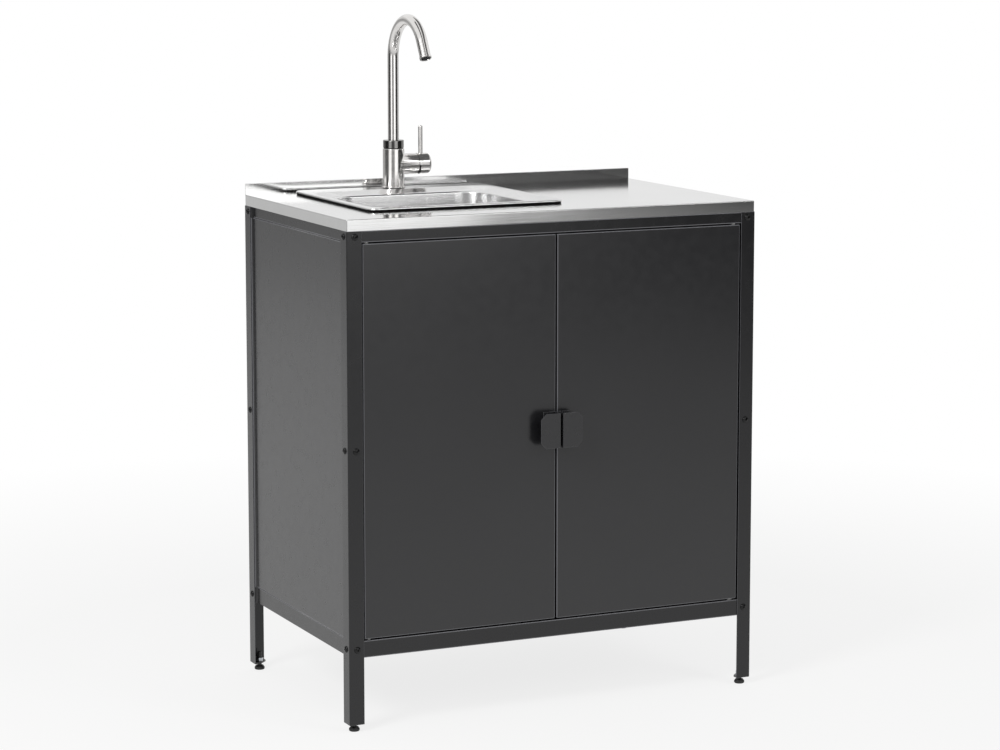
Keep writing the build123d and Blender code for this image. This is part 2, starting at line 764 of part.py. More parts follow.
def sink_space(grow):
    """The air in and over the sink; grown by the sheet, it is the sink's outside."""
    slab = rounded_outline(SINK_LEFT, SINK_RIGHT, SINK_FRONT, SINK_REAR, RIM_CORNER_RADIUS)
    space = extrude(Pos(0, 0, RIM_TOP - grow) * slab, amount=STEP_DROP)
    side_grow = grow * math.tan(math.radians(22.5))
    step_top = rounded_outline(
        SINK_LEFT + RIM_WIDTH - side_grow,
        SINK_RIGHT - RIM_WIDTH + side_grow,
        SINK_FRONT + RIM_WIDTH - side_grow,
        SINK_REAR - TAP_LEDGE + side_grow,
        STEP_CORNER_RADIUS + side_grow,
    )
    slope = math.degrees(math.atan2(STEP_RUN, STEP_DROP))
    space += extrude(Pos(0, 0, RIM_TOP - grow) * step_top, amount=-STEP_DROP, taper=slope)
    bowl_top = rounded_outline(
        SINK_LEFT + BOWL_INSET - grow,
        SINK_RIGHT - BOWL_INSET + grow,
        SINK_FRONT + BOWL_INSET - grow,
        BOWL_REAR + grow,
        BOWL_CORNER_RADIUS + grow,
    )
    bowl = extrude(Pos(0, 0, SHELF_LEVEL - grow) * bowl_top, amount=-BOWL_DEPTH, taper=BOWL_DRAFT)
    bowl = fillet(bowl.faces().sort_by(Axis.Z)[0].edges(), BOWL_FLOOR_RADIUS + grow)
    space += bowl
    folds = {RIM_TOP: BEND_RADIUS - grow, SHELF_LEVEL: BEND_RADIUS - grow}
    for level, radius in folds.items():
        at_level = space.edges().filter_by_position(Axis.Z, level - grow - 0.01, level - grow + 0.01)
        inner = [edge for edge in at_level if inside_loop(edge, level)]
        space = fillet(inner, radius)
    return space


def inside_loop(edge, level):
    """Whether an edge belongs to the step's mouth or the bowl's mouth at this level."""
    centre = edge.center()
    inset = RIM_WIDTH if level == RIM_TOP else BOWL_INSET
    tolerance = 2.0
    return (
        SINK_LEFT + inset - tolerance <= centre.X <= SINK_RIGHT - inset + tolerance
        and SINK_FRONT + inset - tolerance <= centre.Y <= SINK_REAR - inset + tolerance
    )


def make_sink():
    """The pressed sink: sheet between two skins, with its rim turned down all round."""
    sink = sink_space(SINK_SHEET) - sink_space(0.0)
    outline = (SINK_LEFT, SINK_RIGHT, SINK_FRONT, SINK_REAR)
    outer = rounded_outline(*outline, RIM_CORNER_RADIUS)
    skirt = extrude(Pos(0, 0, HEIGHT + RIM_LIFT) * outer, amount=RIM_HEIGHT - RIM_LIFT)
    inner = rounded_outline(
        SINK_LEFT + SINK_SHEET,
        SINK_RIGHT - SINK_SHEET,
        SINK_FRONT + SINK_SHEET,
        SINK_REAR - SINK_SHEET,
        RIM_CORNER_RADIUS - SINK_SHEET,
    )
    skirt -= extrude(Pos(0, 0, HEIGHT + RIM_LIFT) * inner, amount=RIM_HEIGHT)
    sink += skirt
    low, high = SHELF_LEVEL - BOWL_DEPTH - 2, SHELF_LEVEL
    sink -= rod(WASTE_HOLE_RADIUS, (WASTE_X, WASTE_Y, low), (WASTE_X, WASTE_Y, high))
    sink -= rod(TAP_HOLE_RADIUS, (TAP_X, TAP_Y, RIM_TOP - 3), (TAP_X, TAP_Y, RIM_TOP + 3))
    return sink


def make_sink_seal():
    """Foam strip between the sink's rim and the worktop."""
    near, far = SEAL_INSET, SEAL_INSET + SEAL_WIDTH
    faces = [
        rounded_outline(
            SINK_LEFT + inset,
            SINK_RIGHT - inset,
            SINK_FRONT + inset,
            SINK_REAR - inset,
            RIM_CORNER_RADIUS - inset,
        )
        for inset in (near, far)
    ]
    return extrude(Pos(0, 0, HEIGHT) * (faces[0] - faces[1]), amount=RIM_HEIGHT - SINK_SHEET)


def clip_frames():
    """Plan place of each clip on the cut-out's edge, and the way out from the bowl."""
    places = []
    middle_y = (SINK_FRONT + SINK_REAR) / 2
    for share in CLIP_PLACES:
        along_y = middle_y + share * SINK_LENGTH
        along_x = SINK_CENTRE_X + share * SINK_WIDTH
        places.append((SINK_LEFT + CLIP_SETBACK, along_y, -1, 0))
        places.append((SINK_RIGHT - CLIP_SETBACK, along_y, 1, 0))
        places.append((along_x, SINK_FRONT + CLIP_SETBACK, 0, -1))
    return places


def make_sink_clips():
    """Bent clips that hang from the rim and reach out under the worktop."""
    top = RIM_TOP - SINK_SHEET
    leg = block((-CLIP_SHEET, 0), (-CLIP_WIDTH / 2, CLIP_WIDTH / 2), (top - CLIP_DROP, top))
    toe = block(
        (-CLIP_SHEET, CLIP_TOE),
        (-CLIP_WIDTH / 2, CLIP_WIDTH / 2),
        (top - CLIP_DROP, top - CLIP_DROP + CLIP_SHEET),
    )
    toe -= rod(
        SMALL_SCREW_RADIUS + RUNNING_GAP,
        (clip_screw_reach(), 0, top - CLIP_DROP - 1),
        (clip_screw_reach(), 0, top),
    )
    clip = leg + toe
    clips = []
    for x, y, way_x, way_y in clip_frames():
        turn = math.degrees(math.atan2(way_y, way_x))
        clips.append(Pos(x, y) * Rot(0, 0, turn) * clip)
    return group(clips)


def clip_screw_reach():
    return CLIP_TOE - CLIP_WIDTH / 2


def make_clip_screws():
    """Thumb-length screws that press up against the underside of the worktop."""
    toe_level = RIM_TOP - SINK_SHEET - CLIP_DROP
    top = HEIGHT - TOP_SHEET
    screws = []
    for x, y, way_x, way_y in clip_frames():
        place = (x + way_x * clip_screw_reach(), y + way_y * clip_screw_reach())
        shank = rod(SMALL_SCREW_RADIUS, (*place, toe_level - 2), (*place, top))
        head = rod(SMALL_HEAD_RADIUS, (*place, toe_level - 2 - SMALL_HEAD_HEIGHT), (*place, toe_level - 2))
        screws.append(shank + head)
    return group(screws)


def turned(points, x, y):
    """A solid of revolution about an upright axis, from radius and height pairs."""
    face = make_face(Polyline(*points, close=True))
    return Pos(x, y) * revolve(Plane.XZ * face, axis=Axis.Z)


def ring_of_drills(circle, count, radius, bottom, top):
    """Upright drills, evenly spaced on a circle round the waste."""
    drills = []
    for index in range(count):
        angle = 2 * math.pi * index / count
        x = WASTE_X + circle * math.cos(angle)
        y = WASTE_Y + circle * math.sin(angle)
        drills.append(rod(radius, (x, y, bottom), (x, y, top)))
    return drills


def make_waste_flange():
    """Stainless cup in the sink's floor, with a ring of drain holes."""
    floor = FLOOR_LEVEL - WASTE_CUP_DEPTH
    inner = WASTE_CUP_RADIUS - WASTE_SHEET
    cup = turned(
        (
            (0, floor),
            (WASTE_CUP_RADIUS, floor),
            (WASTE_CUP_RADIUS, FLOOR_LEVEL),
            (WASTE_FLANGE_RADIUS, FLOOR_LEVEL),
            (WASTE_FLANGE_RADIUS - 1.5, FLOOR_LEVEL + WASTE_SHEET),
            (inner, FLOOR_LEVEL + WASTE_SHEET),
            (inner, floor + WASTE_SHEET),
            (0, floor + WASTE_SHEET),
        ),
        WASTE_X,
        WASTE_Y,
    )
    return cup - ring_of_drills(WASTE_SLOT_CIRCLE, WASTE_SLOTS, WASTE_SLOT_RADIUS, floor - 1, floor + 3)


def make_waste_basket():
    """Lift-out strainer with a knob, standing in the waste's cup."""
    bottom = FLOOR_LEVEL - WASTE_CUP_DEPTH + WASTE_SHEET + RUNNING_GAP
    sheet = WASTE_SHEET / 2
    top = bottom + BASKET_HEIGHT
    knob_top = bottom + BASKET_KNOB_HEIGHT
    knob_rim = knob_top - 1.0 - BASKET_KNOB_RIM
    basket = turned(
        (
            (0, bottom),
            (BASKET_RADIUS, bottom),
            (BASKET_RADIUS, top - sheet),
            (BASKET_RIM_RADIUS, top - sheet),
            (BASKET_RIM_RADIUS, top),
            (BASKET_RADIUS - sheet, top),
            (BASKET_RADIUS - sheet, bottom + sheet),
            (BASKET_STEM_RADIUS, bottom + sheet),
            (BASKET_STEM_RADIUS, knob_rim - BASKET_KNOB_SLOPE),
            (BASKET_KNOB_RADIUS, knob_rim),
            (BASKET_KNOB_RADIUS, knob_rim + BASKET_KNOB_RIM),
            (BASKET_KNOB_RADIUS - BASKET_KNOB_EDGE, knob_top),
            (0, knob_top),
        ),
        WASTE_X,
        WASTE_Y,
    )
    for circle, count in zip(BASKET_HOLE_CIRCLES, BASKET_HOLE_COUNTS):
        basket -= ring_of_drills(circle, count, BASKET_HOLE_RADIUS, bottom - 1, bottom + 2)
    return basket


def make_waste_gasket():
    top = FLOOR_LEVEL - SINK_SHEET
    return ring(WASTE_BODY_RADIUS, WASTE_HOLE_RADIUS, top - GASKET_THICKNESS, top, WASTE_X, WASTE_Y)


def make_waste_body():
    """Plastic funnel under the sink, ending in a plain pipe."""
    inner = WASTE_HOLE_RADIUS
    outer = inner + WASTE_BODY_WALL
    bore = PIPE_RADIUS - PIPE_WALL
    top, low = WASTE_BODY_TOP, TAIL_TOP
    return turned(
        (
            (bore, TAIL_BOTTOM),
            (PIPE_RADIUS, TAIL_BOTTOM),
            (PIPE_RADIUS, low),
            (outer, low + 4),
            (outer, top - 3),
            (WASTE_BODY_RADIUS, top - 3),
            (WASTE_BODY_RADIUS, top),
            (inner, top),
            (inner, low + 4 + WASTE_BODY_WALL),
            (bore, low + WASTE_BODY_WALL),
        ),
        WASTE_X,
        WASTE_Y,
    )


def make_trap_body():
    """Bottle trap: a chamber with an upright neck and a level outlet boss."""
    neck_bore = PIPE_RADIUS + HOLE_GAP
    neck = neck_bore + TRAP_WALL
    chamber = turned(
        (
            (neck_bore, TRAP_NECK_TOP - SEAT_GAP),
            (neck_bore, TRAP_TOP - TRAP_WALL),
            (TRAP_RADIUS - TRAP_WALL, TRAP_TOP - TRAP_WALL),
            (TRAP_RADIUS - TRAP_WALL, TRAP_BOTTOM),
            (TRAP_RADIUS, TRAP_BOTTOM),
            (TRAP_RADIUS, TRAP_TOP),
            (neck, TRAP_TOP),
            (neck, TRAP_NECK_TOP - SEAT_GAP),
        ),
        WASTE_X,
        WASTE_Y,
    )
    start = (WASTE_X, WASTE_Y + TRAP_RADIUS - 2 * TRAP_WALL, OUTLET_Z)
    end = (WASTE_X, WASTE_Y + TRAP_BOSS_END, OUTLET_Z)
    middle = (WASTE_X, WASTE_Y, OUTLET_Z)
    core = rod(TRAP_RADIUS - TRAP_WALL, (WASTE_X, WASTE_Y, TRAP_BOTTOM), (WASTE_X, WASTE_Y, TRAP_TOP - TRAP_WALL))
    body = chamber + (rod(neck, start, end) - core)
    return body - rod(neck_bore, middle, end)


def make_trap_cup():
    """Screw cup that closes the trap from below."""
    inner = TRAP_RADIUS + HOLE_GAP
    outer = inner + TRAP_WALL
    top = TRAP_BOTTOM + TRAP_CUP_OVERLAP
    bottom = top - TRAP_CUP_HEIGHT
    return turned(
        (
            (0, bottom),
            (outer - 4, bottom),
            (outer, bottom + 4),
            (outer, top),
            (inner, top),
            (inner, TRAP_BOTTOM),
            (inner - 2 * TRAP_WALL, bottom + TRAP_WALL),
            (0, bottom + TRAP_WALL),
        ),
        WASTE_X,
        WASTE_Y,
    )


def make_trap_outlet():
    """Level pipe from the trap to a push-fit socket in the back panel's hole."""
    bore = PIPE_RADIUS - PIPE_WALL
    start = WASTE_Y + TRAP_RADIUS + TRAP_WALL
    socket_outer = SOCKET_BORE_RADIUS + SOCKET_WALL
    socket_floor = HALF_DEPTH - SOCKET_DEPTH
    socket_start = socket_floor - SOCKET_STOP
    pipe = turned(
        (
            (bore, start),
            (PIPE_RADIUS, start),
            (PIPE_RADIUS, socket_start),
            (socket_outer, socket_start + SOCKET_WALL),
            (socket_outer, HALF_DEPTH),
            (SOCKET_BORE_RADIUS, HALF_DEPTH),
            (SOCKET_BORE_RADIUS, socket_floor),
            (bore, socket_floor),
        ),
        0,
        0,
    )
    return Pos(WASTE_X, 0, OUTLET_Z) * Rot(-90, 0, 0) * pipe


def make_trap_nuts():
    """Union nuts on the trap's neck and on its outlet boss."""
    inner = PIPE_RADIUS + HOLE_GAP + TRAP_WALL + HOLE_GAP
    lip = PIPE_RADIUS + HOLE_GAP
    outer = inner + TRAP_NUT_WALL
    profile = (
        (lip, 0),
        (outer - 1, 0),
        (outer, 1),
        (outer, TRAP_NUT_LENGTH),
        (inner, TRAP_NUT_LENGTH),
        (inner, 3),
        (lip, 3),
    )
    nut = turned(profile, 0, 0)
    flutes = [
        Rot(0, 0, 30 * index) * rod(1.6, (outer + 0.6, 0, 0), (outer + 0.6, 0, TRAP_NUT_LENGTH))
        for index in range(12)
    ]
    nut -= flutes
    neck_nut = Pos(WASTE_X, WASTE_Y, TRAP_NECK_TOP - SEAT_GAP + 3) * Rot(180, 0, 0) * nut
    boss_end = WASTE_Y + TRAP_BOSS_END
    boss_nut = Pos(WASTE_X, boss_end + 3, OUTLET_Z) * Rot(90, 0, 0) * nut
    return group([neck_nut, boss_nut])


def tap_tube(outer, inner, bottom, top):
    return ring(outer, inner, bottom, top, TAP_X, TAP_Y)


def make_tap_seals():
    """Rubber ring under the tap and the dark ring under its swivel collar."""
    base = tap_tube(TAP_RADIUS - TAP_SEAL_INSET, SHANK_RADIUS + HOLE_GAP, RIM_TOP, TAP_BASE)
    swivel = tap_tube(TAP_RADIUS - SWIVEL_SEAL_INSET, NECK_RADIUS + HOLE_GAP, BODY_TOP, COLLAR_BOTTOM)
    return group([base, swivel])


def make_tap_body():
    """Upright body with the valve's sleeve on its right and a neck for the spout."""
    foot, top = (TAP_X, TAP_Y, TAP_BASE), (TAP_X, TAP_Y, BODY_TOP)
    body = rod(TAP_RADIUS, foot, top)
    body = fillet(body.edges().group_by(Axis.Z)[-1], TAP_EDGE_RADIUS)
    base_ring = rod(TAP_FOOT_RADIUS, foot, (TAP_X, TAP_Y, TAP_BASE + TAP_FOOT_HEIGHT))
    body += fillet(base_ring.edges().group_by(Axis.Z)[-1], TAP_EDGE_RADIUS)
    valve_end = (TAP_X + VALVE_REACH, TAP_Y, VALVE_Z)
    body += rod(VALVE_RADIUS, (TAP_X, TAP_Y, VALVE_Z), valve_end)
    body += rod(NECK_RADIUS, top, (TAP_X, TAP_Y, BODY_TOP + NECK_LENGTH))
    start = (TAP_X + CARTRIDGE_START, TAP_Y, VALVE_Z)
    body -= rod(CARTRIDGE_RADIUS + RUNNING_GAP, start, valve_end)
    recess_top = RIM_TOP + SHANK_INTO_BODY
    body -= rod(SHANK_RADIUS + RUNNING_GAP, foot, (TAP_X, TAP_Y, recess_top))
    body -= rod(CHANNEL_RADIUS, (TAP_X, TAP_Y, VALVE_Z), (TAP_X, TAP_Y, BODY_TOP + NECK_LENGTH))
    return body


def make_tap_cartridge():
    """Ceramic-disc cartridge in the sleeve, bored for the stem."""
    start = TAP_X + CARTRIDGE_START
    end = TAP_X + VALVE_REACH - CARTRIDGE_INSET
    cartridge = rod(CARTRIDGE_RADIUS, (start, TAP_Y, VALVE_Z), (end, TAP_Y, VALVE_Z))
    stem_start = TAP_X + STEM_START - SEAT_GAP
    bore = STEM_RADIUS + RUNNING_GAP
    return cartridge - rod(bore, (stem_start, TAP_Y, VALVE_Z), (end, TAP_Y, VALVE_Z))


def make_tap_shank():
    """Threaded shank through the sink's ledge, with two inlets for the supply pipes."""
    bottom = RIM_TOP - SHANK_LENGTH
    top = RIM_TOP + SHANK_INTO_BODY
    ceiling = bottom + SHANK_BORE_DEPTH
    shank = rod(SHANK_RADIUS, (TAP_X, TAP_Y, bottom), (TAP_X, TAP_Y, top))
    shank -= rod(SHANK_BORE_RADIUS, (TAP_X, TAP_Y, bottom), (TAP_X, TAP_Y, ceiling))
    for side in SIDES:
        x = TAP_X + side * INLET_SPACING / 2
        shank -= rod(INLET_RADIUS, (x, TAP_Y, ceiling), (x, TAP_Y, ceiling + INLET_DEPTH))
    return shank


def make_tap_washer():
    top = RIM_TOP - SINK_SHEET
    bore = SHANK_RADIUS + HOLE_GAP
    return tap_tube(TAP_WASHER_RADIUS, bore, top - TAP_WASHER_THICKNESS, top)


def make_tap_nut():
    nut = hexagon_nut(TAP_NUT_ACROSS_FLATS, SHANK_RADIUS + RUNNING_GAP, TAP_NUT_HEIGHT)
    top = RIM_TOP - SINK_SHEET - TAP_WASHER_THICKNESS
    return Pos(TAP_X, TAP_Y, top - TAP_NUT_HEIGHT) * nut


def make_spout_collar():
    """Ring that carries the spout and turns on the body's neck."""
    collar = rod(COLLAR_RADIUS, (TAP_X, TAP_Y, COLLAR_BOTTOM), (TAP_X, TAP_Y, COLLAR_TOP))
    collar = fillet(collar.edges().group_by(Axis.Z)[-1], COLLAR_EDGE_RADIUS)
    socket_top = COLLAR_TOP - COLLAR_TOP_WALL
    collar -= rod(NECK_RADIUS + RUNNING_GAP, (TAP_X, TAP_Y, COLLAR_BOTTOM), (TAP_X, TAP_Y, socket_top))
    return collar - rod(SPOUT_RADIUS, (TAP_X, TAP_Y, socket_top), (TAP_X, TAP_Y, COLLAR_TOP))


def spout_line():
    """Centre line of the swan neck: up, over towards the front, and slanting down."""
    start = Vector(TAP_X, TAP_Y, COLLAR_TOP - COLLAR_TOP_WALL)
    bend = Vector(TAP_X, TAP_Y, RIM_TOP + SPOUT_RISE)
    riser = Line(start, bend)
    centre = bend - Vector(0, SPOUT_BEND_RADIUS, 0)

    def on_arc(degrees):
        angle = math.radians(degrees)
        return centre + Vector(0, math.cos(angle), math.sin(angle)) * SPOUT_BEND_RADIUS

    arc = ThreePointArc(bend, on_arc(SPOUT_BEND_ANGLE / 2), on_arc(SPOUT_BEND_ANGLE))
    end_line = Line(arc @ 1, arc @ 1 + (arc % 1) * SPOUT_END_LENGTH)
    return Wire([riser, arc, end_line])


def make_spout_tube():
    path = spout_line()
    section = Plane(origin=path @ 0, z_dir=path % 0)
    outer = sweep(section * Circle(SPOUT_RADIUS), path=path)
    return outer - sweep(section * Circle(SPOUT_RADIUS - SPOUT_WALL), path=path)


def make_aerator():
    """Outlet ring and its insert, square to the spout's end."""
    path = spout_line()
    end, way = path @ 1, path % 1
    shell = rod(AERATOR_RADIUS, end, end + way * AERATOR_LENGTH)
    shell = fillet(shell.edges(), 0.5)
    floor = end + way * (AERATOR_LENGTH - AERATOR_BORE_DEPTH)
    shell -= rod(AERATOR_BORE_RADIUS, floor, end + way * AERATOR_LENGTH)
    insert = rod(AERATOR_BORE_RADIUS - HOLE_GAP, floor, end + way * (AERATOR_LENGTH - 1.0))
    return group([shell, insert])


def make_mixer_stem():
    """The cartridge's stem, cross-drilled for the lever's pin."""
    start = (TAP_X + STEM_START, TAP_Y, VALVE_Z)
    end = (TAP_X + STEM_START + STEM_LENGTH, TAP_Y, VALVE_Z)
    pivot_x = TAP_X + LEVER_PIVOT
    cross = rod(
        LEVER_PIN_RADIUS + RUNNING_GAP,
        (pivot_x, TAP_Y - STEM_RADIUS - 1, VALVE_Z),
        (pivot_x, TAP_Y + STEM_RADIUS + 1, VALVE_Z),
    )
    return rod(STEM_RADIUS, start, end) - cross


def make_lever_cap():
    """Round cap over the valve; a notch in its lower half leaves room for the tilt."""
    near = VALVE_REACH + CAP_GAP_TOP
    cap = rod(VALVE_RADIUS, (near, 0, 0), (CAP_END, 0, 0))
    cap = fillet(cap.edges().group_by(Axis.X)[-1], CAP_DOME_RADIUS)
    wedge = make_face(
        Polyline(
            (near, CAP_NOTCH_TOP),
            (VALVE_REACH + CAP_GAP_MIDDLE, CAP_NOTCH_SHOULDER),
            (VALVE_REACH + CAP_GAP_BOTTOM, -VALVE_RADIUS),
            (near - 1, -VALVE_RADIUS),
            (near - 1, CAP_NOTCH_TOP),
            close=True,
        )
    )
    wedge = extrude(Plane.XZ * wedge, amount=VALVE_RADIUS + 1, both=True)
    cap -= wedge
    cap -= rod(CAP_CAVITY_RADIUS, (near - 1, 0, 0), (CAP_CAVITY_END, 0, 0))
    cap -= rod(LEVER_RADIUS, (LEVER_PLACE, 0, 0), (LEVER_PLACE, 0, VALVE_RADIUS + 1))
    half_pin = LEVER_PIN_LENGTH / 2 + HOLE_GAP
    cap -= rod(LEVER_PIN_RADIUS, (LEVER_PIVOT, -half_pin, 0), (LEVER_PIVOT, half_pin, 0))
    return Pos(TAP_X, TAP_Y, VALVE_Z) * cap


def make_lever_rod():
    top = VALVE_RADIUS + LEVER_LENGTH
    lever = rod(LEVER_RADIUS, (LEVER_PLACE, 0, LEVER_ROOT), (LEVER_PLACE, 0, top))
    lever = fillet(lever.edges().group_by(Axis.Z)[-1], LEVER_RADIUS * 0.6)
    return Pos(TAP_X, TAP_Y, VALVE_Z) * lever


def make_lever_pin():
    x, half = TAP_X + LEVER_PIVOT, LEVER_PIN_LENGTH / 2
    return rod(LEVER_PIN_RADIUS, (x, TAP_Y - half, VALVE_Z), (x, TAP_Y + half, VALVE_Z))


def make_pivot_bushes():
    """White flanged bushes that the doors' pins turn in."""
    bore = PIVOT_RADIUS + RUNNING_GAP
    sleeve = bore + BUSH_WALL
    bushes = []
    for side in SIDES:
        x = side * PIVOT_X
        for seat, way, flange_end in (
            (TRAY_TOP, -1, DOOR_BOTTOM - BUSH_FLANGE_GAP),
            (RAIL_BOTTOM, 1, DOOR_TOP + BUSH_FLANGE_GAP),
        ):
            end = seat + way * BUSH_SLEEVE_LENGTH
            bush = rod(sleeve, (x, PIVOT_Y, seat), (x, PIVOT_Y, end))
            bush += rod(BUSH_FLANGE_RADIUS, (x, PIVOT_Y, flange_end), (x, PIVOT_Y, seat))
            bushes.append(bush - rod(bore, (x, PIVOT_Y, flange_end), (x, PIVOT_Y, end)))
    return group(bushes)


def make_pivot_pins():
    """The left door's lower and upper pins, with heads inside the door."""
    x = -PIVOT_X
    pins = []
    for edge, way in ((DOOR_BOTTOM, -1), (DOOR_TOP, 1)):
        inside = edge - way * DOOR_SHEET
        pin = rod(PIVOT_RADIUS, (x, PIVOT_Y, inside), (x, PIVOT_Y, edge + way * PIVOT_REACH))
        head_end = inside - way * PIVOT_HEAD_HEIGHT
        pin += rod(PIVOT_HEAD_RADIUS, (x, PIVOT_Y, head_end), (x, PIVOT_Y, inside))
        pins.append(pin)
    return group(pins)


def make_door_panel():
    """The left door: a pan with turned-in edges and lips round its open back."""
    left, right = -DOOR_OUTER, -DOOR_INNER
    door = block((left, right), (DOOR_FACE, DOOR_BACK), (DOOR_BOTTOM, DOOR_TOP))
    door = fillet(door.faces().sort_by(Axis.Y)[0].edges(), DOOR_EDGE_RADIUS)
    door -= block(
        (left + DOOR_SHEET, right - DOOR_SHEET),
        (DOOR_FACE + DOOR_SHEET, DOOR_BACK - DOOR_SHEET),
        (DOOR_BOTTOM + DOOR_SHEET, DOOR_TOP - DOOR_SHEET),
    )
    door -= block(
        (left + DOOR_LIP, right - DOOR_LIP),
        (DOOR_BACK - DOOR_SHEET, DOOR_BACK),
        (DOOR_BOTTOM + DOOR_LIP, DOOR_TOP - DOOR_LIP),
    )
    radius = PIVOT_RADIUS + HOLE_GAP
    for bottom in (DOOR_BOTTOM, DOOR_TOP - DOOR_SHEET):
        door -= rod(radius, (-PIVOT_X, PIVOT_Y, bottom), (-PIVOT_X, PIVOT_Y, bottom + DOOR_SHEET))
    return door - handle_drills()


def handle_screw_places():
    x = -DOOR_INNER - HANDLE_EDGE_INSET - HANDLE_SCREW_INSET
    half = HANDLE_SCREW_SPACING / 2
    return [(x, HANDLE_CENTRE_HEIGHT + side * half) for side in SIDES]


def handle_drills():
    radius = SMALL_SCREW_RADIUS + HOLE_GAP
    inside, outside = DOOR_FACE + 2 * DOOR_SHEET, DOOR_FACE - 2 * HANDLE_SHEET
    return [rod(radius, (x, inside, z), (x, outside, z)) for x, z in handle_screw_places()]


def make_handle():
    """The left handle: foot, web and grip plate folded from one strip."""
    inner_x = -DOOR_INNER - HANDLE_EDGE_INSET
    front = DOOR_FACE - HANDLE_STAND_OFF
    bottom = HANDLE_CENTRE_HEIGHT - HANDLE_HEIGHT / 2
    top = HANDLE_CENTRE_HEIGHT + HANDLE_HEIGHT / 2
    corners = (
        (inner_x - HANDLE_WIDTH, front),
        (inner_x, front),
        (inner_x, DOOR_FACE),
        (inner_x - HANDLE_FOOT_WIDTH, DOOR_FACE),
    )
    handle = folded_wall(tuple(reversed(corners)), HANDLE_SHEET, bottom, top)
    upright = handle.edges().filter_by(Axis.Z)
    outer_bends = [
        upright.sort_by_distance((inner_x, y, HANDLE_CENTRE_HEIGHT))[0] for y in (front, DOOR_FACE)
    ]
    handle = fillet(outer_bends, HANDLE_SHEET)
    for level, turn in ((bottom, 1), (top, -1)):
        corner = make_face(
            Polyline(
                (inner_x - HANDLE_WIDTH, level),
                (inner_x - HANDLE_WIDTH + HANDLE_CUT, level),
                (inner_x - HANDLE_WIDTH, level + turn * HANDLE_CUT),
                close=True,
            )
        )
        cutter = Plane.XZ.offset(-(front + HANDLE_SHEET)) * corner
        handle -= extrude(cutter, amount=2 * HANDLE_SHEET)
    return handle - handle_drills()


def make_handle_screws():
    """Screws from inside the door into the handle's foot."""
    length = DOOR_SHEET + HANDLE_SHEET + 1.0
    screw = pan_screw(SMALL_SCREW_RADIUS, length, SMALL_HEAD_RADIUS, SMALL_HEAD_HEIGHT, False)
    seat = DOOR_FACE + DOOR_SHEET
    return group([along(screw, (x, seat, z), (0, -1, 0)) for x, z in handle_screw_places()])


def make_doors():
    """Both doors; the right one mirrors the left one."""
    makers = {
        "door_panel": make_door_panel,
        "handle": make_handle,
        "handle_screws": make_handle_screws,
        "pivot_pins": make_pivot_pins,
    }
    nodes = {}
    for name, maker in makers.items():
        left = maker()
        nodes[f"left_{name}"] = left
        nodes[f"right_{name}"] = mirrored(left)
    return nodes


def make_catch():
    """Twin magnetic catch under the front rail's ledge, just behind the doors."""
    front = DOOR_BACK + SEAT_GAP
    housing = block(
        (-CATCH_WIDTH / 2, CATCH_WIDTH / 2),
        (front + SEAT_GAP, front + CATCH_DEPTH),
        (RAIL_BOTTOM - CATCH_HEIGHT, RAIL_BOTTOM),
    )
    magnets = []
    middle = RAIL_BOTTOM - CATCH_HEIGHT / 2
    for side in SIDES:
        x = side * MAGNET_SPACING / 2
        magnet = block(
            (x - MAGNET_WIDTH / 2, x + MAGNET_WIDTH / 2),
            (front, front + MAGNET_DEPTH),
            (middle - MAGNET_HEIGHT / 2, middle + MAGNET_HEIGHT / 2),
        )
        housing -= magnet
        magnets.append(magnet)
    return {"catch_housing": housing, "catch_magnets": group(magnets)}


def make_feet():
    """Four levelling feet, one node each because each turns by itself."""
    nodes = {}
    for side, side_name in zip(SIDES, ("left", "right")):
        for end, end_name in zip(SIDES, ("front", "rear")):
            x = side * (HALF_WIDTH - FOOT_INSET)
            y = end * (HALF_DEPTH - FOOT_INSET)
            nodes[f"{end_name}_{side_name}_foot"] = make_foot(x, y)
    return nodes


def make_cabinet():
    """Frame, panels and what joins them."""
    drills = frame_drills()
    left_panel = make_side_panel()
    nodes = {}
    nodes.update(make_posts(drills))
    nodes.update(make_rails(drills))
    nodes["base_tray"] = make_base_tray(drills)
    nodes["left_side_panel"] = drilled(left_panel, drills)
    nodes["right_side_panel"] = drilled(mirrored(left_panel), drills)
    nodes["back_panel"] = make_back_panel(drills)
    nodes["pipe_grommets"] = make_grommets()
    nodes["foot_plates"] = make_foot_plates()
    nodes["foot_nuts"] = make_foot_nuts()
    nodes["frame_screws"] = make_frame_screws()
    nodes["frame_nuts"] = make_frame_nuts()
    nodes["pivot_bushes"] = make_pivot_bushes()
    nodes.update(make_catch())
    return nodes


def make_top():
    """Worktop, sink, waste and trap."""
    return {
        "worktop": make_worktop(),
        "worktop_stiffeners": make_stiffeners(),
        "worktop_screws": make_top_screws(),
        "sink_bowl": make_sink(),
        "sink_rim_seal": make_sink_seal(),
        "sink_clips": make_sink_clips(),
        "clip_screws": make_clip_screws(),
        "waste_flange": make_waste_flange(),
        "waste_basket": make_waste_basket(),
        "waste_gasket": make_waste_gasket(),
        "waste_body": make_waste_body(),
        "trap_body": make_trap_body(),
        "trap_cup": make_trap_cup(),
        "trap_outlet": make_trap_outlet(),
        "trap_nuts": make_trap_nuts(),
    }


def make_tap():
    """Tap body, spout, valve and lever."""
    return {
        "tap_seals": make_tap_seals(),
        "tap_body": make_tap_body(),
        "tap_cartridge": make_tap_cartridge(),
        "tap_shank": make_tap_shank(),
        "tap_washer": make_tap_washer(),
        "tap_nut": make_tap_nut(),
        "spout_collar": make_spout_collar(),
        "spout_tube": make_spout_tube(),
        "aerator": make_aerator(),
        "mixer_stem": make_mixer_stem(),
        "lever_cap": make_lever_cap(),
        "lever_rod": make_lever_rod(),
        "lever_pin": make_lever_pin(),
    }


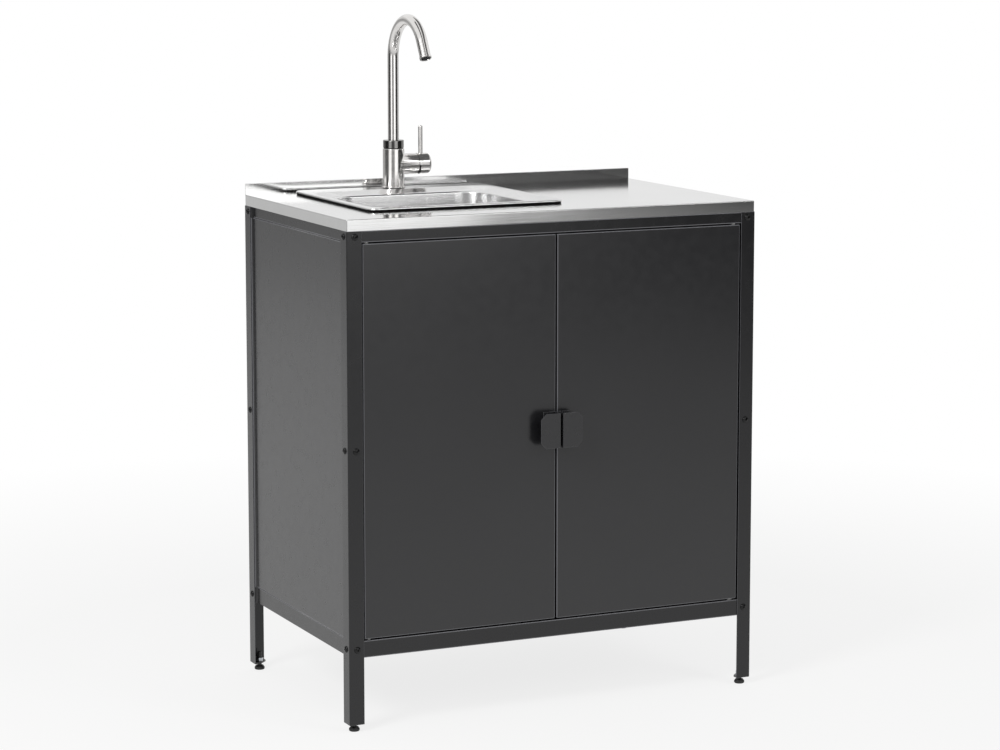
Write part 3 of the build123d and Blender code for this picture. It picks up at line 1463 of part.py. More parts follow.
def placed(shape):
    """Each solid moved back by itself, to make room for the handles."""
    solids = [Pos(0, HANDLE_ALLOWANCE, 0) * solid for solid in shape.solids()]
    return solids[0] if len(solids) == 1 else Compound(children=solids)


def main():
    os.makedirs("parts", exist_ok=True)
    nodes = {}
    for maker in (make_cabinet, make_doors, make_top, make_tap, make_feet):
        nodes.update(maker())
    for name, shape in nodes.items():
        export_step(placed(shape), f"parts/{name}.step")


main()
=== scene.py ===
"""Free-standing kitchen sink unit: a dark powder-coated steel cabinet, a folded stainless
worktop with a drop-in sink, and a brushed swan-neck tap. Shapes are drawn in millimetres,
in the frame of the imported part, and turned into metres when a piece is finished."""

import math

import bmesh
import bpy
from mathutils import Matrix, Vector


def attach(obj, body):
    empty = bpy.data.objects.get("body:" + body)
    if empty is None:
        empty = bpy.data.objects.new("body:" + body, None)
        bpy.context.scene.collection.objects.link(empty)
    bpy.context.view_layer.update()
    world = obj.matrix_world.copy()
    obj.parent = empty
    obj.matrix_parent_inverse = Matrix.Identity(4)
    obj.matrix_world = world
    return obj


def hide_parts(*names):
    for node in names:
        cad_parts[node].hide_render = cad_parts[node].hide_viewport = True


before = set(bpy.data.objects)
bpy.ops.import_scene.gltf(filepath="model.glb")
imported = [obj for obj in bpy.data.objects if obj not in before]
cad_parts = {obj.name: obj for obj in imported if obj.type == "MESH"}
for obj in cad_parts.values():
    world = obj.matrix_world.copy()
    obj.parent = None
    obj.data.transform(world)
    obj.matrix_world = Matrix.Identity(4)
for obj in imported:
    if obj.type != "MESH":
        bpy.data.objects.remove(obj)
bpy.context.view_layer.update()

# Sizes of the unit, in millimetres
HALF_WIDTH = 400.0
FRONT = -240.0
REAR = 260.0
MIDDLE_Y = (FRONT + REAR) / 2
POST_BOTTOM, POST_TOP = 13.0, 880.0
POST_FLANGE, POST_SHEET, POST_CORNER = 28.0, 1.5, 2.0
SCREW_HEIGHTS = (870.0, 498.0, 147.0)
SCREW_INSET = 15.5
WORKTOP = 900.0
TAP_X, TAP_Y = -122.0, 208.0

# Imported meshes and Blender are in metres
TO_METRES, TO_MM = 0.001, 1000.0
# Points closer than this, in millimetres, are one point: in a drawn shape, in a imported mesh
WELD, PACKED_WELD = 0.0005, 0.002


# ---------------------------------------------------------------- finishes

def tone(code):
    """A colour written as sRGB hex, as the linear values that a shader takes."""
    parts = [int(code[start:start + 2], 16) / 255 for start in (1, 3, 5)]
    linear = [p / 12.92 if p <= 0.04045 else ((p + 0.055) / 1.055) ** 2.4 for p in parts]
    return (*linear, 1.0)


def add(tree, kind, inputs=None, **settings):
    """Adds a node with its settings. An input is a value, or a socket to link from."""
    node = tree.nodes.new(kind)
    for name, value in settings.items():
        setattr(node, name, value)
    for name, value in (inputs or {}).items():
        if isinstance(value, bpy.types.NodeSocket):
            tree.links.new(value, node.inputs[name])
        else:
            node.inputs[name].default_value = value
    return node


def blank_finish(name):
    """An empty material and the object coordinates that its pattern is laid in."""
    material = bpy.data.materials.new(name)
    material.use_nodes = True
    tree = material.node_tree
    tree.nodes.clear()
    place = add(tree, "ShaderNodeTexCoord").outputs["Object"]
    return material, tree, place


def close_finish(tree, inputs):
    shader = add(tree, "ShaderNodeBsdfPrincipled", inputs)
    add(tree, "ShaderNodeOutputMaterial", {"Surface": shader.outputs["BSDF"]})


# Noise keeps mostly to its middle range, which is laid out between two values of a finish
MIDDLE = {"From Min": 0.3, "From Max": 0.7}


def powder_coat(name, dark, light, rough, ior):
    """Polyester powder baked on sheet steel. The skin is nearly black in itself and satin, so
    the eye sees a soft grey sheen from the room, faintly broken by orange peel."""
    material, tree, place = blank_finish(name)
    # one cloud is about 180 mm wide, as where the spray gun passed
    cloud = add(tree, "ShaderNodeTexNoise", {"Vector": place, "Scale": 5.5, "Detail": 2.0})
    colour = add(
        tree,
        "ShaderNodeMix",
        {0: cloud.outputs[0], 6: tone(dark), 7: tone(light)},
        data_type="RGBA",
    )
    # real orange peel is 1 to 2 mm wide; it is drawn 3 mm wide, so that it shows
    peel = add(tree, "ShaderNodeTexNoise", {"Vector": place, "Scale": 330.0, "Detail": 1.5})
    bump = add(
        tree,
        "ShaderNodeBump",
        {"Height": peel.outputs[0], "Strength": 0.3, "Distance": 0.000014},
    )
    # satin patches about 17 mm wide
    fine = add(tree, "ShaderNodeTexNoise", {"Vector": place, "Scale": 60.0, "Detail": 3.0})
    satin = add(
        tree,
        "ShaderNodeMapRange",
        {"Value": fine.outputs[0], **MIDDLE, "To Min": rough - 0.02, "To Max": rough + 0.03},
    )
    close_finish(
        tree,
        {
            "Base Color": colour.outputs[2],
            "Roughness": satin.outputs[0],
            "IOR": ior,
            "Normal": bump.outputs["Normal"],
        },
    )
    return material


def brushed_steel(name, dark, light, scratch, smooth, rough, depth):
    """Stainless steel rubbed with a fine belt. The scratches pull reflections out across their
    run, and the sheet stays bright. A scratch's size is given along x, y and z in mm."""
    material, tree, place = blank_finish(name)
    laid = add(
        tree, "ShaderNodeMapping", {"Vector": place, "Scale": [TO_MM / size for size in scratch]}
    )
    lines = add(
        tree,
        "ShaderNodeTexNoise",
        {"Vector": laid.outputs[0], "Scale": 1.0, "Detail": 3.0, "Roughness": 0.65},
    )
    # handling marks: patches about 110 mm wide
    patch = add(tree, "ShaderNodeTexNoise", {"Vector": place, "Scale": 9.0, "Detail": 3.0})
    both = add(
        tree,
        "ShaderNodeMix",
        {0: 0.3, 2: lines.outputs[0], 3: patch.outputs[0]},
        data_type="FLOAT",
    )
    share = add(tree, "ShaderNodeMapRange", {"Value": both.outputs[0], **MIDDLE})
    colour = add(
        tree,
        "ShaderNodeMix",
        {0: share.outputs[0], 6: tone(dark), 7: tone(light)},
        data_type="RGBA",
    )
    polish = add(
        tree,
        "ShaderNodeMapRange",
        {"Value": both.outputs[0], **MIDDLE, "To Min": smooth, "To Max": rough},
    )
    bump = add(
        tree,
        "ShaderNodeBump",
        {"Height": lines.outputs[0], "Strength": 0.6, "Distance": depth},
    )
    close_finish(
        tree,
        {
            "Base Color": colour.outputs[2],
            "Metallic": 1.0,
            "Roughness": polish.outputs[0],
            "Normal": bump.outputs["Normal"],
        },
    )
    return material


def plated_metal(name, dark, light, rough, spangle):
    """A plated or turned small part: bright, slightly mottled, duller in the hollows."""
    material, tree, place = blank_finish(name)
    mottle = add(
        tree,
        "ShaderNodeTexNoise",
        {"Vector": place, "Scale": TO_MM / spangle, "Detail": 4.0, "Roughness": 0.6},
    )
    share = add(tree, "ShaderNodeMapRange", {"Value": mottle.outputs[0], **MIDDLE})
    colour = add(
        tree,
        "ShaderNodeMix",
        {0: share.outputs[0], 6: tone(dark), 7: tone(light)},
        data_type="RGBA",
    )
    dulled = add(
        tree,
        "ShaderNodeMapRange",
        {"Value": mottle.outputs[0], **MIDDLE, "To Min": rough - 0.06, "To Max": rough + 0.08},
    )
    bump = add(
        tree,
        "ShaderNodeBump",
        {"Height": mottle.outputs[0], "Strength": 0.3, "Distance": 0.00003},
    )
    close_finish(
        tree,
        {
            "Base Color": colour.outputs[2],
            "Metallic": 1.0,
            "Roughness": dulled.outputs[0],
            "Normal": bump.outputs["Normal"],
        },
    )
    return material


def moulded(name, dark, light, rough, texture, depth, gloss=0.5):
    """Moulded plastic or rubber: an even body colour with the mould's fine spark texture."""
    material, tree, place = blank_finish(name)
    spark = add(
        tree,
        "ShaderNodeTexNoise",
        {"Vector": place, "Scale": TO_MM / texture, "Detail": 2.0, "Roughness": 0.55},
    )
    # the colour drifts over about 33 mm
    drift = add(tree, "ShaderNodeTexNoise", {"Vector": place, "Scale": 30.0, "Detail": 2.0})
    share = add(tree, "ShaderNodeMapRange", {"Value": drift.outputs[0], **MIDDLE})
    colour = add(
        tree,
        "ShaderNodeMix",
        {0: share.outputs[0], 6: tone(dark), 7: tone(light)},
        data_type="RGBA",
    )
    satin = add(
        tree,
        "ShaderNodeMapRange",
        {"Value": spark.outputs[0], **MIDDLE, "To Min": rough - 0.04, "To Max": rough + 0.05},
    )
    bump = add(
        tree,
        "ShaderNodeBump",
        {"Height": spark.outputs[0], "Strength": 0.5, "Distance": depth},
    )
    close_finish(
        tree,
        {
            "Base Color": colour.outputs[2],
            "Roughness": satin.outputs[0],
            "IOR": 1.5,
            "Specular IOR Level": gloss,
            "Normal": bump.outputs["Normal"],
        },
    )
    return material


# near-black polyester powder on the frame: the darkest coat, with the plainest sheen
FRAME_PAINT = powder_coat("frame_powder_coat", "#101012", "#151517", 0.25, 1.5)
# the same powder on the wide side sheets, drawn in a lighter colour as painted light, for the more
# of the room's light that they show
PANEL_PAINT_PAINTED_LIGHT = powder_coat("panel_powder_coat_painted_light", "#19191b", "#1f1f21", 0.25, 1.56)
# on the doors it is a little smoother, so tones run softly from dark above to light below
DOOR_PAINT = powder_coat("door_powder_coat", "#19191b", "#1e1e20", 0.23, 1.57)
# and on the small handle plates a little duller
HANDLE_PAINT = powder_coat("handle_powder_coat", "#1d1d1f", "#242426", 0.28, 1.57)
# on folds and cut edges a much lighter coat is painted: a painted highlight for the light that
# these rounded edges catch
PAINTED_EDGE_HIGHLIGHT = powder_coat("painted_edge_highlight_coat", "#59595d", "#66666a", 0.20, 1.57)
# gloss black lacquer on steel: nearly black, with small sharp glints
SCREW_LACQUER = moulded("gloss_black_lacquer", "#050506", "#0a0a0b", 0.09, 2.0, 0.000004, 0.32)
# belt-brushed along the worktop's length; scratches drawn 1.4 mm apart, so that they show
WORKTOP_STEEL = brushed_steel(
    "brushed_worktop_steel", "#dadad9", "#eaeaea", (90.0, 1.4, 1.4), 0.08, 0.13, 0.000003
)
# satin from the press and a light brushing: mirror images in it are soft; scratches are drawn
# 1.6 mm apart, so that they show
SINK_STEEL = brushed_steel(
    "satin_pressed_steel", "#d6d6d6", "#eaeaea", (45.0, 1.6, 1.6), 0.17, 0.25, 0.000006
)
# turned against a belt: sharp light and dark stripes, faintly banded round the upright parts;
# the bands are drawn 6 mm apart, so that they show
TAP_STEEL = brushed_steel(
    "brushed_tap_steel", "#dad8d6", "#e5e3e1", (30.0, 30.0, 6.0), 0.12, 0.17, 0.000003
)
# polished and darkened, so it takes the room's dark parts as nearly black
COLLAR_STEEL = brushed_steel(
    "polished_dark_collar", "#6f6e6d", "#908f8d", (30.0, 30.0, 0.9), 0.07, 0.11, 0.000004
)
# electroplated zinc: pale, slightly blue, cloudy
ZINC = plated_metal("bright_zinc_plate", "#9fa3a8", "#c4c7ca", 0.32, 4.0)
# lathe-turned steel, unplated: greyer and a little sharper
STEM_STEEL = plated_metal("turned_steel", "#8f9092", "#b5b6b8", 0.25, 3.0)
# machined brass: warm yellow, bright on the crests
BRASS = plated_metal("machined_brass", "#a8883f", "#c9a860", 0.28, 3.0)
# nickel plate: a warm grey mirror
MAGNET = plated_metal("nickel_plated_magnet", "#8c8a86", "#b0aea9", 0.22, 3.0)
# moulded rubber: black and dull, with a fine grain
RUBBER = moulded("black_rubber", "#0e0e0e", "#171717", 0.62, 1.2, 0.00004)
# dark moulded plastic deep in the outlet, with a low sheen
AERATOR_PLASTIC = moulded("dark_outlet_plastic", "#17181a", "#202124", 0.38, 1.5, 0.00002)
# machined acetal: black with hardly a sheen
CARTRIDGE_PLASTIC = moulded("black_acetal", "#0a0a0b", "#101011", 0.5, 1.5, 0.00002, 0.2)
# closed-cell foam: dull and nearly black
SEAL_FOAM = moulded("foam_seal", "#060606", "#0c0c0c", 0.9, 1.0, 0.00005, 0.12)
# painted shade on bare metal deep in the joint between the tap's body and cap: nearly black, for a
# slit which hardly any light reaches
JOINT_SHADOW = moulded("painted_slit_shade", "#050505", "#090909", 0.7, 1.5, 0.00002, 0.12)
# moulded nylon: milky white and satin
NYLON = moulded("white_nylon", "#efefec", "#f8f8f5", 0.40, 1.5, 0.00002)
# moulded ABS with a spark-eroded grain: black and satin
CATCH_PLASTIC = moulded("black_abs", "#161617", "#1f1f20", 0.45, 1.2, 0.00003)
# moulded polypropylene: waxy white
TRAP_PLASTIC = moulded("white_polypropylene", "#dddddb", "#ebebe8", 0.34, 1.5, 0.00002)
# moulded polyethylene: black, waxy and dull
FOOT_PLASTIC = moulded("black_polyethylene", "#101011", "#181819", 0.50, 1.3, 0.00004)


# ---------------------------------------------------------------- ways of making a piece

def finished(name, bm, finish, body, replaces=(), angle=32.0, second=None):
    """Turns a shape drawn in mm into a piece in metres that rides on its body. Folds sharper
    than the angle stay crisp."""
    bmesh.ops.remove_doubles(bm, verts=bm.verts, dist=WELD)
    bmesh.ops.recalc_face_normals(bm, faces=bm.faces)
    bmesh.ops.scale(bm, vec=(TO_METRES,) * 3, verts=bm.verts)
    mesh = bpy.data.meshes.new(name)
    bm.to_mesh(mesh)
    bm.free()
    mesh.materials.append(finish)
    if second:
        mesh.materials.append(second)
    mesh.shade_smooth()
    mesh.set_sharp_from_angle(angle=math.radians(angle))
    piece = bpy.data.objects.new(name, mesh)
    bpy.context.scene.collection.objects.link(piece)
    even = piece.modifiers.new("even_shading", "WEIGHTED_NORMAL")
    even.keep_sharp = True
    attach(piece, body)
    if replaces:
        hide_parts(*replaces)
    return piece


def packed_copy(node):
    """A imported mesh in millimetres, with its loose triangles merged."""
    bm = bmesh.new()
    bm.from_mesh(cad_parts[node].data)
    bmesh.ops.scale(bm, vec=(TO_MM,) * 3, verts=bm.verts)
    bmesh.ops.remove_doubles(bm, verts=bm.verts, dist=PACKED_WELD)
    return bm


def extruded(bm, points, height):
    """An upright bar on a flat outline of points."""
    face = bm.faces.new([bm.verts.new(point) for point in points])
    top = bmesh.ops.extrude_face_region(bm, geom=[face])["geom"]
    verts = [item for item in top if isinstance(item, bmesh.types.BMVert)]
    bmesh.ops.translate(bm, vec=(0, 0, height), verts=verts)


def ease(bm, edges, width, segments=2, finish=0):
    """Rounds the edges given. The new faces take the piece's finish of that number."""
    rounded = bmesh.ops.bevel(
        bm,
        geom=edges,
        offset=width,
        offset_type="OFFSET",
        segments=segments,
        profile=0.5,
        affect="EDGES",
        material=-1,
    )
    for face in rounded["faces"]:
        face.material_index = finish


def sharp_edges(bm, degrees=30.0):
    """Edges whose two faces meet at more than this angle."""
    limit = math.radians(degrees)
    return [e for e in bm.edges if e.is_manifold and e.calc_face_angle(0.0) > limit]


def turned(bm, profile, steps=48):
    """Spins a profile of (radius, height) points about the upright axis through the origin.
    Returns the new vertices."""
    before = set(bm.verts)
    verts = [bm.verts.new((radius, 0, height)) for radius, height in profile]
    edges = [bm.edges.new(pair) for pair in zip(verts, verts[1:])]
    bmesh.ops.spin(
        bm,
        geom=verts + edges,
        cent=(0, 0, 0),
        axis=(0, 0, 1),
        angle=math.tau,
        steps=steps,
        use_merge=True,
    )
    bmesh.ops.remove_doubles(bm, verts=[v for v in bm.verts if v not in before], dist=0.001)
    return [v for v in bm.verts if v not in before]


def moved(bm, verts, place, turn=Matrix.Identity(4)):
    """Turns vertices about the origin, then takes them to their place."""
    bmesh.ops.transform(bm, matrix=Matrix.Translation(place) @ turn, verts=verts)


def arc(centre, radius, start, end, steps):
    """Points of a profile's rounded corner, from one angle to another in degrees."""
    points = []
    for step in range(steps + 1):
        angle = math.radians(start + (end - start) * step / steps)
        points.append((centre[0] + radius * math.cos(angle), centre[1] + radius * math.sin(angle)))
    return points


# ---------------------------------------------------------------- cabinet

POST_EDGE = 0.4


def corner_post(side_x, side_y):
    """An angle section with a rounded corner and eased sheet edges."""
    bm = bmesh.new()
    f, t = POST_FLANGE, POST_SHEET
    outline = [(0, 0), (f, 0), (f, t), (t, t), (t, f), (0, f)]
    extruded(bm, [(x, y, POST_BOTTOM) for x, y in outline], POST_TOP - POST_BOTTOM)
    upright = [e for e in bm.edges if abs(e.verts[0].co.z - e.verts[1].co.z) > 1]
    corner = [e for e in upright if e.verts[0].co.xy.length < 0.01]
    inner = [e for e in upright if (e.verts[0].co.xy - Vector((t, t))).length < 0.01]
    ease(bm, corner, POST_CORNER, 5)
    ends = [e for e in sharp_edges(bm) if e not in inner]
    # the eased sheet edges take the second finish, a painted highlight
    ease(bm, ends, POST_EDGE, 2, 1)
    place = Matrix.Translation((-HALF_WIDTH, FRONT, 0))
    bmesh.ops.transform(bm, matrix=place, verts=bm.verts)
    if side_x > 0:
        bmesh.ops.scale(bm, vec=(-1, 1, 1), verts=bm.verts)
    if side_y > 0:
        bmesh.ops.translate(bm, vec=(0, -MIDDLE_Y, 0), verts=bm.verts)
        bmesh.ops.scale(bm, vec=(1, -1, 1), verts=bm.verts)
        bmesh.ops.translate(bm, vec=(0, MIDDLE_Y, 0), verts=bm.verts)
    return bm


def make_posts():
    for depth, side_y in (("front", -1), ("rear", 1)):
        for hand, side_x in (("left", -1), ("right", 1)):
            node = f"{depth}_{hand}_post"
            finished(f"{node}_angle", corner_post(side_x, side_y), FRAME_PAINT, "cabinet",
                     (node,), second=PAINTED_EDGE_HIGHLIGHT)


# Fold radius of a sheet of the cabinet, fold radius of a handle, and ease of a cut edge
SHEET_FOLD, HANDLE_FOLD, CUT_EDGE = 1.6, 0.8, 0.22
# A fold is longer than this, and lies between faces of more than this area in mm2
FOLD_LENGTH, FOLD_FACE = 150.0, 1800.0

FOLDED_SHEETS = {
    "front_top_rail": (FRAME_PAINT, "cabinet", "frame_paint", SHEET_FOLD),
    "rear_top_rail": (FRAME_PAINT, "cabinet", "frame_paint", SHEET_FOLD),
    "left_top_rail": (FRAME_PAINT, "cabinet", "frame_paint", SHEET_FOLD),
    "right_top_rail": (FRAME_PAINT, "cabinet", "frame_paint", SHEET_FOLD),
    "base_tray": (FRAME_PAINT, "cabinet", "frame_paint", SHEET_FOLD),
    "left_side_panel": (PANEL_PAINT_PAINTED_LIGHT, "cabinet", "panel_paint", SHEET_FOLD),
    "right_side_panel": (PANEL_PAINT_PAINTED_LIGHT, "cabinet", "panel_paint", SHEET_FOLD),
    "left_handle": (HANDLE_PAINT, "left_door", "door_paint", HANDLE_FOLD),
    "right_handle": (HANDLE_PAINT, "right_door", "door_paint", HANDLE_FOLD),
}


def folded_sheet(node, bend):
    """A copy of a packed sheet with rounded folds and eased cut edges, which catch the light and
    carry a painted highlight.
    """
    bm = packed_copy(node)
    bmesh.ops.dissolve_limit(
        bm,
        angle_limit=math.radians(0.6),
        use_dissolve_boundaries=False,
        verts=bm.verts,
        edges=bm.edges,
        delimit={"NORMAL"},
    )
    folds = [
        e
        for e in sharp_edges(bm, 20.0)
        if e.is_convex
        and e.calc_length() > FOLD_LENGTH
        and min(f.calc_area() for f in e.link_faces) > FOLD_FACE
    ]
    # folds and cut edges take the second finish, a painted highlight
    ease(bm, folds, bend, 4, 1)
    cut = [e for e in sharp_edges(bm, 50.0) if e.is_convex and e.calc_length() > 3]
    ease(bm, cut, CUT_EDGE, 1, 1)
    return bm


def make_folded_sheets():
    for node, (finish, body, slot, bend) in FOLDED_SHEETS.items():
        finished(f"{node}_sheet", folded_sheet(node, bend), finish, body, (node,),
                 second=PAINTED_EDGE_HIGHLIGHT)


DOOR_WIDTH, DOOR_HEIGHT, DOOR_DEPTH = 368.4, 693.0, 18.0
DOOR_MIDDLE = (185.8, -229.5, 511.0)
DOOR_LIP, DOOR_FOLD, DOOR_SHEET = 14.0, 1.6, 1.0


def door_pan(side):
    """A folded pan: rounded front edges, and lips turned in round its open back."""
    bm = bmesh.new()
    verts = bmesh.ops.create_cube(bm, size=1.0)["verts"]
    bmesh.ops.scale(bm, vec=(DOOR_WIDTH, DOOR_DEPTH, DOOR_HEIGHT), verts=verts)
    back = [f for f in bm.faces if f.normal.y > 0.9]
    bmesh.ops.inset_individual(bm, faces=back, thickness=DOOR_LIP)
    bmesh.ops.delete(bm, geom=back, context="FACES_ONLY")
    front = [e for e in bm.edges if all(v.co.y < 0 for v in e.verts)]
    corners = [e for e in bm.edges if abs(e.verts[0].co.y - e.verts[1].co.y) > 10]
    # the rounded edges take the second finish, a painted highlight
    ease(bm, front + corners, DOOR_FOLD, 5, 1)
    x, y, z = DOOR_MIDDLE
    bmesh.ops.translate(bm, vec=(side * x, y, z), verts=bm.verts)
    return bm


def give_wall(piece, thickness):
    """Sheet thickness in mm, inwards from the drawn surface, before the shading is evened."""
    wall = piece.modifiers.new("sheet", "SOLIDIFY")
    wall.thickness = thickness * TO_METRES
    wall.offset = -1.0
    piece.modifiers.move(1, 0)


def make_doors():
    for hand, side in (("left", -1), ("right", 1)):
        node = f"{hand}_door_panel"
        door = finished(f"{hand}_door_pan", door_pan(side), DOOR_PAINT, f"{hand}_door",
                        (node,), second=PAINTED_EDGE_HIGHLIGHT)
        give_wall(door, DOOR_SHEET)


# A pan head's crown, from its foot to its top, as (radius, height)
CROWN = ((6.0, 0.0), (5.9, 0.7), (5.4, 1.5), (4.5, 2.25), (3.2, 2.8), (1.6, 3.08), (0.0, 3.15))


def pan_head():
    """A domed screw head that stands on z 0."""
    bm = bmesh.new()
    turned(bm, CROWN, 32)
    rim = [e for e in bm.edges if e.is_boundary]
    bmesh.ops.contextual_create(bm, geom=rim)
    bmesh.ops.recalc_face_normals(bm, faces=bm.faces)
    return bm


def recess_cutter():
    """Two crossed tapered bars, 5.4 mm long and 1.25 mm wide at the head's top."""
    bm = bmesh.new()
    for turn in (0.0, math.pi / 2):
        made = bmesh.ops.create_cube(bm, size=1.0)["verts"]
        bmesh.ops.scale(bm, vec=(5.4, 1.25, 3.0), verts=made)
        low = [v for v in made if v.co.z < 0]
        bmesh.ops.scale(bm, vec=(0.35, 0.7, 1.0), verts=low)
        moved(bm, made, (0, 0, 2.9), Matrix.Rotation(turn, 4, "Z"))
    return bm


def cut_head():
    """The head's mesh with its recess cut, in millimetres."""
    shapes = []
    for label, bm in (("head", pan_head()), ("recess", recess_cutter())):
        mesh = bpy.data.meshes.new(label)
        bm.to_mesh(mesh)
        bm.free()
        shape = bpy.data.objects.new(label, mesh)
        bpy.context.scene.collection.objects.link(shape)
        shapes.append(shape)
    head, cutter = shapes
    cut = head.modifiers.new("recess", "BOOLEAN")
    cut.operation = "DIFFERENCE"
    cut.solver = "EXACT"
    cut.use_self = True
    cut.object = cutter
    graph = bpy.context.evaluated_depsgraph_get()
    mesh = bpy.data.meshes.new_from_object(head.evaluated_get(graph))
    for shape in shapes:
        bpy.data.objects.remove(shape)
    return mesh


# Each screw's recess is turned on by this many degrees from the last one's
SCREW_TURN = 37


def make_frame_screws():
    """Three pan heads on each flange of each post, each turned its own way."""
    head = cut_head()
    bm = bmesh.new()
    count = 0
    for side_x in (-1, 1):
        for face_y, out_y in ((FRONT, -1), (REAR, 1)):
            for height in SCREW_HEIGHTS:
                flat = Matrix.Rotation(math.radians(90 if out_y < 0 else -90), 4, "X")
                side = Matrix.Rotation(math.radians(90 * side_x), 4, "Y")
                for place, turn in (
                    ((side_x * (HALF_WIDTH - SCREW_INSET), face_y, height), flat),
                    ((side_x * HALF_WIDTH, face_y - out_y * SCREW_INSET, height), side),
                ):
                    before = set(bm.verts)
                    bm.from_mesh(head)
                    made = [v for v in bm.verts if v not in before]
                    count += 1
                    spin = Matrix.Rotation(math.radians(SCREW_TURN * count % 90), 4, "Z")
                    moved(bm, made, place, turn @ spin)
    bpy.data.meshes.remove(head)
    finished("frame_screw_heads", bm, SCREW_LACQUER, "cabinet",
             ("frame_screws",), 40.0)


# ---------------------------------------------------------------- sink

SINK_LEFT, SINK_RIGHT = -312.0, 68.0
SINK_FRONT, SINK_REAR = -136.0, 239.0
RIM_TOP, SHELF, BOWL_FLOOR = 906.0, 899.0, 756.0
RIM_ROLL, RIM_FLAT, RIM_SKIRT = 2.1, 11.0, 2.9
STEP_RADIUS, BOWL_RADIUS = 4.0, 22.0
LEDGE = 41.0
WASTE_Y, WASTE_RADIUS = 31.0, 31.0
SINK_SHEET = 0.8


def sink_profile():
    """The pressed sheet from its turned-down edge to the bowl's floor, as steps of
    (inset, height, plan radius). The flange is dished: it falls gently from the flat rim."""
    steps = [(0.0, RIM_TOP - RIM_SKIRT, 20.0)]
    for x, z in arc((RIM_ROLL, RIM_TOP - RIM_ROLL), RIM_ROLL, 180, 90, 5):
        steps.append((x, z, 20.0))
    steps += [(RIM_FLAT, RIM_TOP, 33.0), (12.2, RIM_TOP - 0.1, 35.0), (13.6, RIM_TOP - 0.6, 36.0)]
    steps += [(22.0, SHELF + 3.3, 38.0), (29.5, SHELF + 0.6, 42.0), (31.5, SHELF + 0.1, 44.0)]
    for x, z in arc((34.27, SHELF - STEP_RADIUS), STEP_RADIUS, 96, 4, 7):
        steps.append((x, z, 88.0 - x if x > 36 else 50.0))
    for x, z in arc((68.31, BOWL_FLOOR + BOWL_RADIUS), BOWL_RADIUS, 184, 270, 10):
        steps.append((x, z, 88.0 - x))
    return steps


def rounded_loop(bm, inset, height, radius):
    """A rounded rectangle of edges at one inset; the tap's ledge keeps its width."""
    ledge = LEDGE * min(1.0, max(0.0, inset - RIM_ROLL) / (RIM_FLAT - RIM_ROLL))
    low = (SINK_LEFT + inset, SINK_FRONT + inset)
    high = (SINK_RIGHT - inset, SINK_REAR - inset - ledge)
    corners = [(low[0], low[1]), (high[0], low[1]), (high[0], high[1]), (low[0], high[1])]
    face = bm.faces.new([bm.verts.new((x, y, height)) for x, y in corners])
    before = set(bm.edges) - set(face.edges)
    bmesh.ops.bevel(
        bm,
        geom=list(face.verts),
        offset=radius,
        offset_type="OFFSET",
        segments=10,
        profile=0.5,
        affect="VERTICES",
        material=-1,
    )
    edges = [e for e in bm.edges if e not in before]
    faces = [f for f in bm.faces if len(f.verts) > 8]
    bmesh.ops.delete(bm, geom=faces, context="FACES_ONLY")
    return edges


def make_sink():
    bm = bmesh.new()
    loops = []
    for inset, height, radius in sink_profile():
        loops.append(rounded_loop(bm, inset, height, radius))
    for outer, inner in zip(loops, loops[1:]):
        bmesh.ops.bridge_loops(bm, edges=outer + inner)
    ring = bmesh.ops.create_circle(
        bm, cap_ends=False, segments=48, radius=WASTE_RADIUS
    )["verts"]
    moved(bm, ring, (TAP_X, WASTE_Y, BOWL_FLOOR))
    waste = [e for e in bm.edges if e.verts[0] in ring and e.verts[1] in ring]
    bmesh.ops.triangle_fill(bm, edges=loops[-1] + waste, use_beauty=True, normal=(0, 0, 1))
    sink = finished("pressed_sink", bm, SINK_STEEL, "cabinet", ("sink_bowl",))
    # the open side is up, so the bowl's floor faces up and the sheet lies under it
    if min(sink.data.polygons, key=lambda p: p.center.z).normal.z < 0:
        sink.data.flip_normals()
    give_wall(sink, SINK_SHEET)


# ---------------------------------------------------------------- tap

# The slit between body and cap starts here in x, and faces near it belong to it
VALVE_END, SLIT_BEFORE, SLIT_AFTER = -77.0, 3.0, 9.0


def make_valve():
    """The tap's body and round cap. Their faces inside the slit between them get a nearly black
    painted shade.
    """
    for node, name, body, way in (
        ("tap_body", "brushed_tap_body", "cabinet", 1),
        ("lever_cap", "brushed_lever_cap", "lever", -1),
    ):
        bm = packed_copy(node)
        bmesh.ops.recalc_face_normals(bm, faces=bm.faces)
        for face in bm.faces:
            x = face.calc_center_median().x - VALVE_END
            if face.normal.x * way > 0.25 and -SLIT_BEFORE < x < SLIT_AFTER:
                # faces in the slit get the painted shade
                face.material_index = 1
        finished(name, bm, TAP_STEEL, body, (node,), second=JOINT_SHADOW)


SPOUT_RADIUS = 10.4
SPOUT_FOOT, BEND_START = 992.5, 1150.0
BEND_RADIUS, BEND_TURN = 72.0, math.radians(151)
SPOUT_END = 30.5


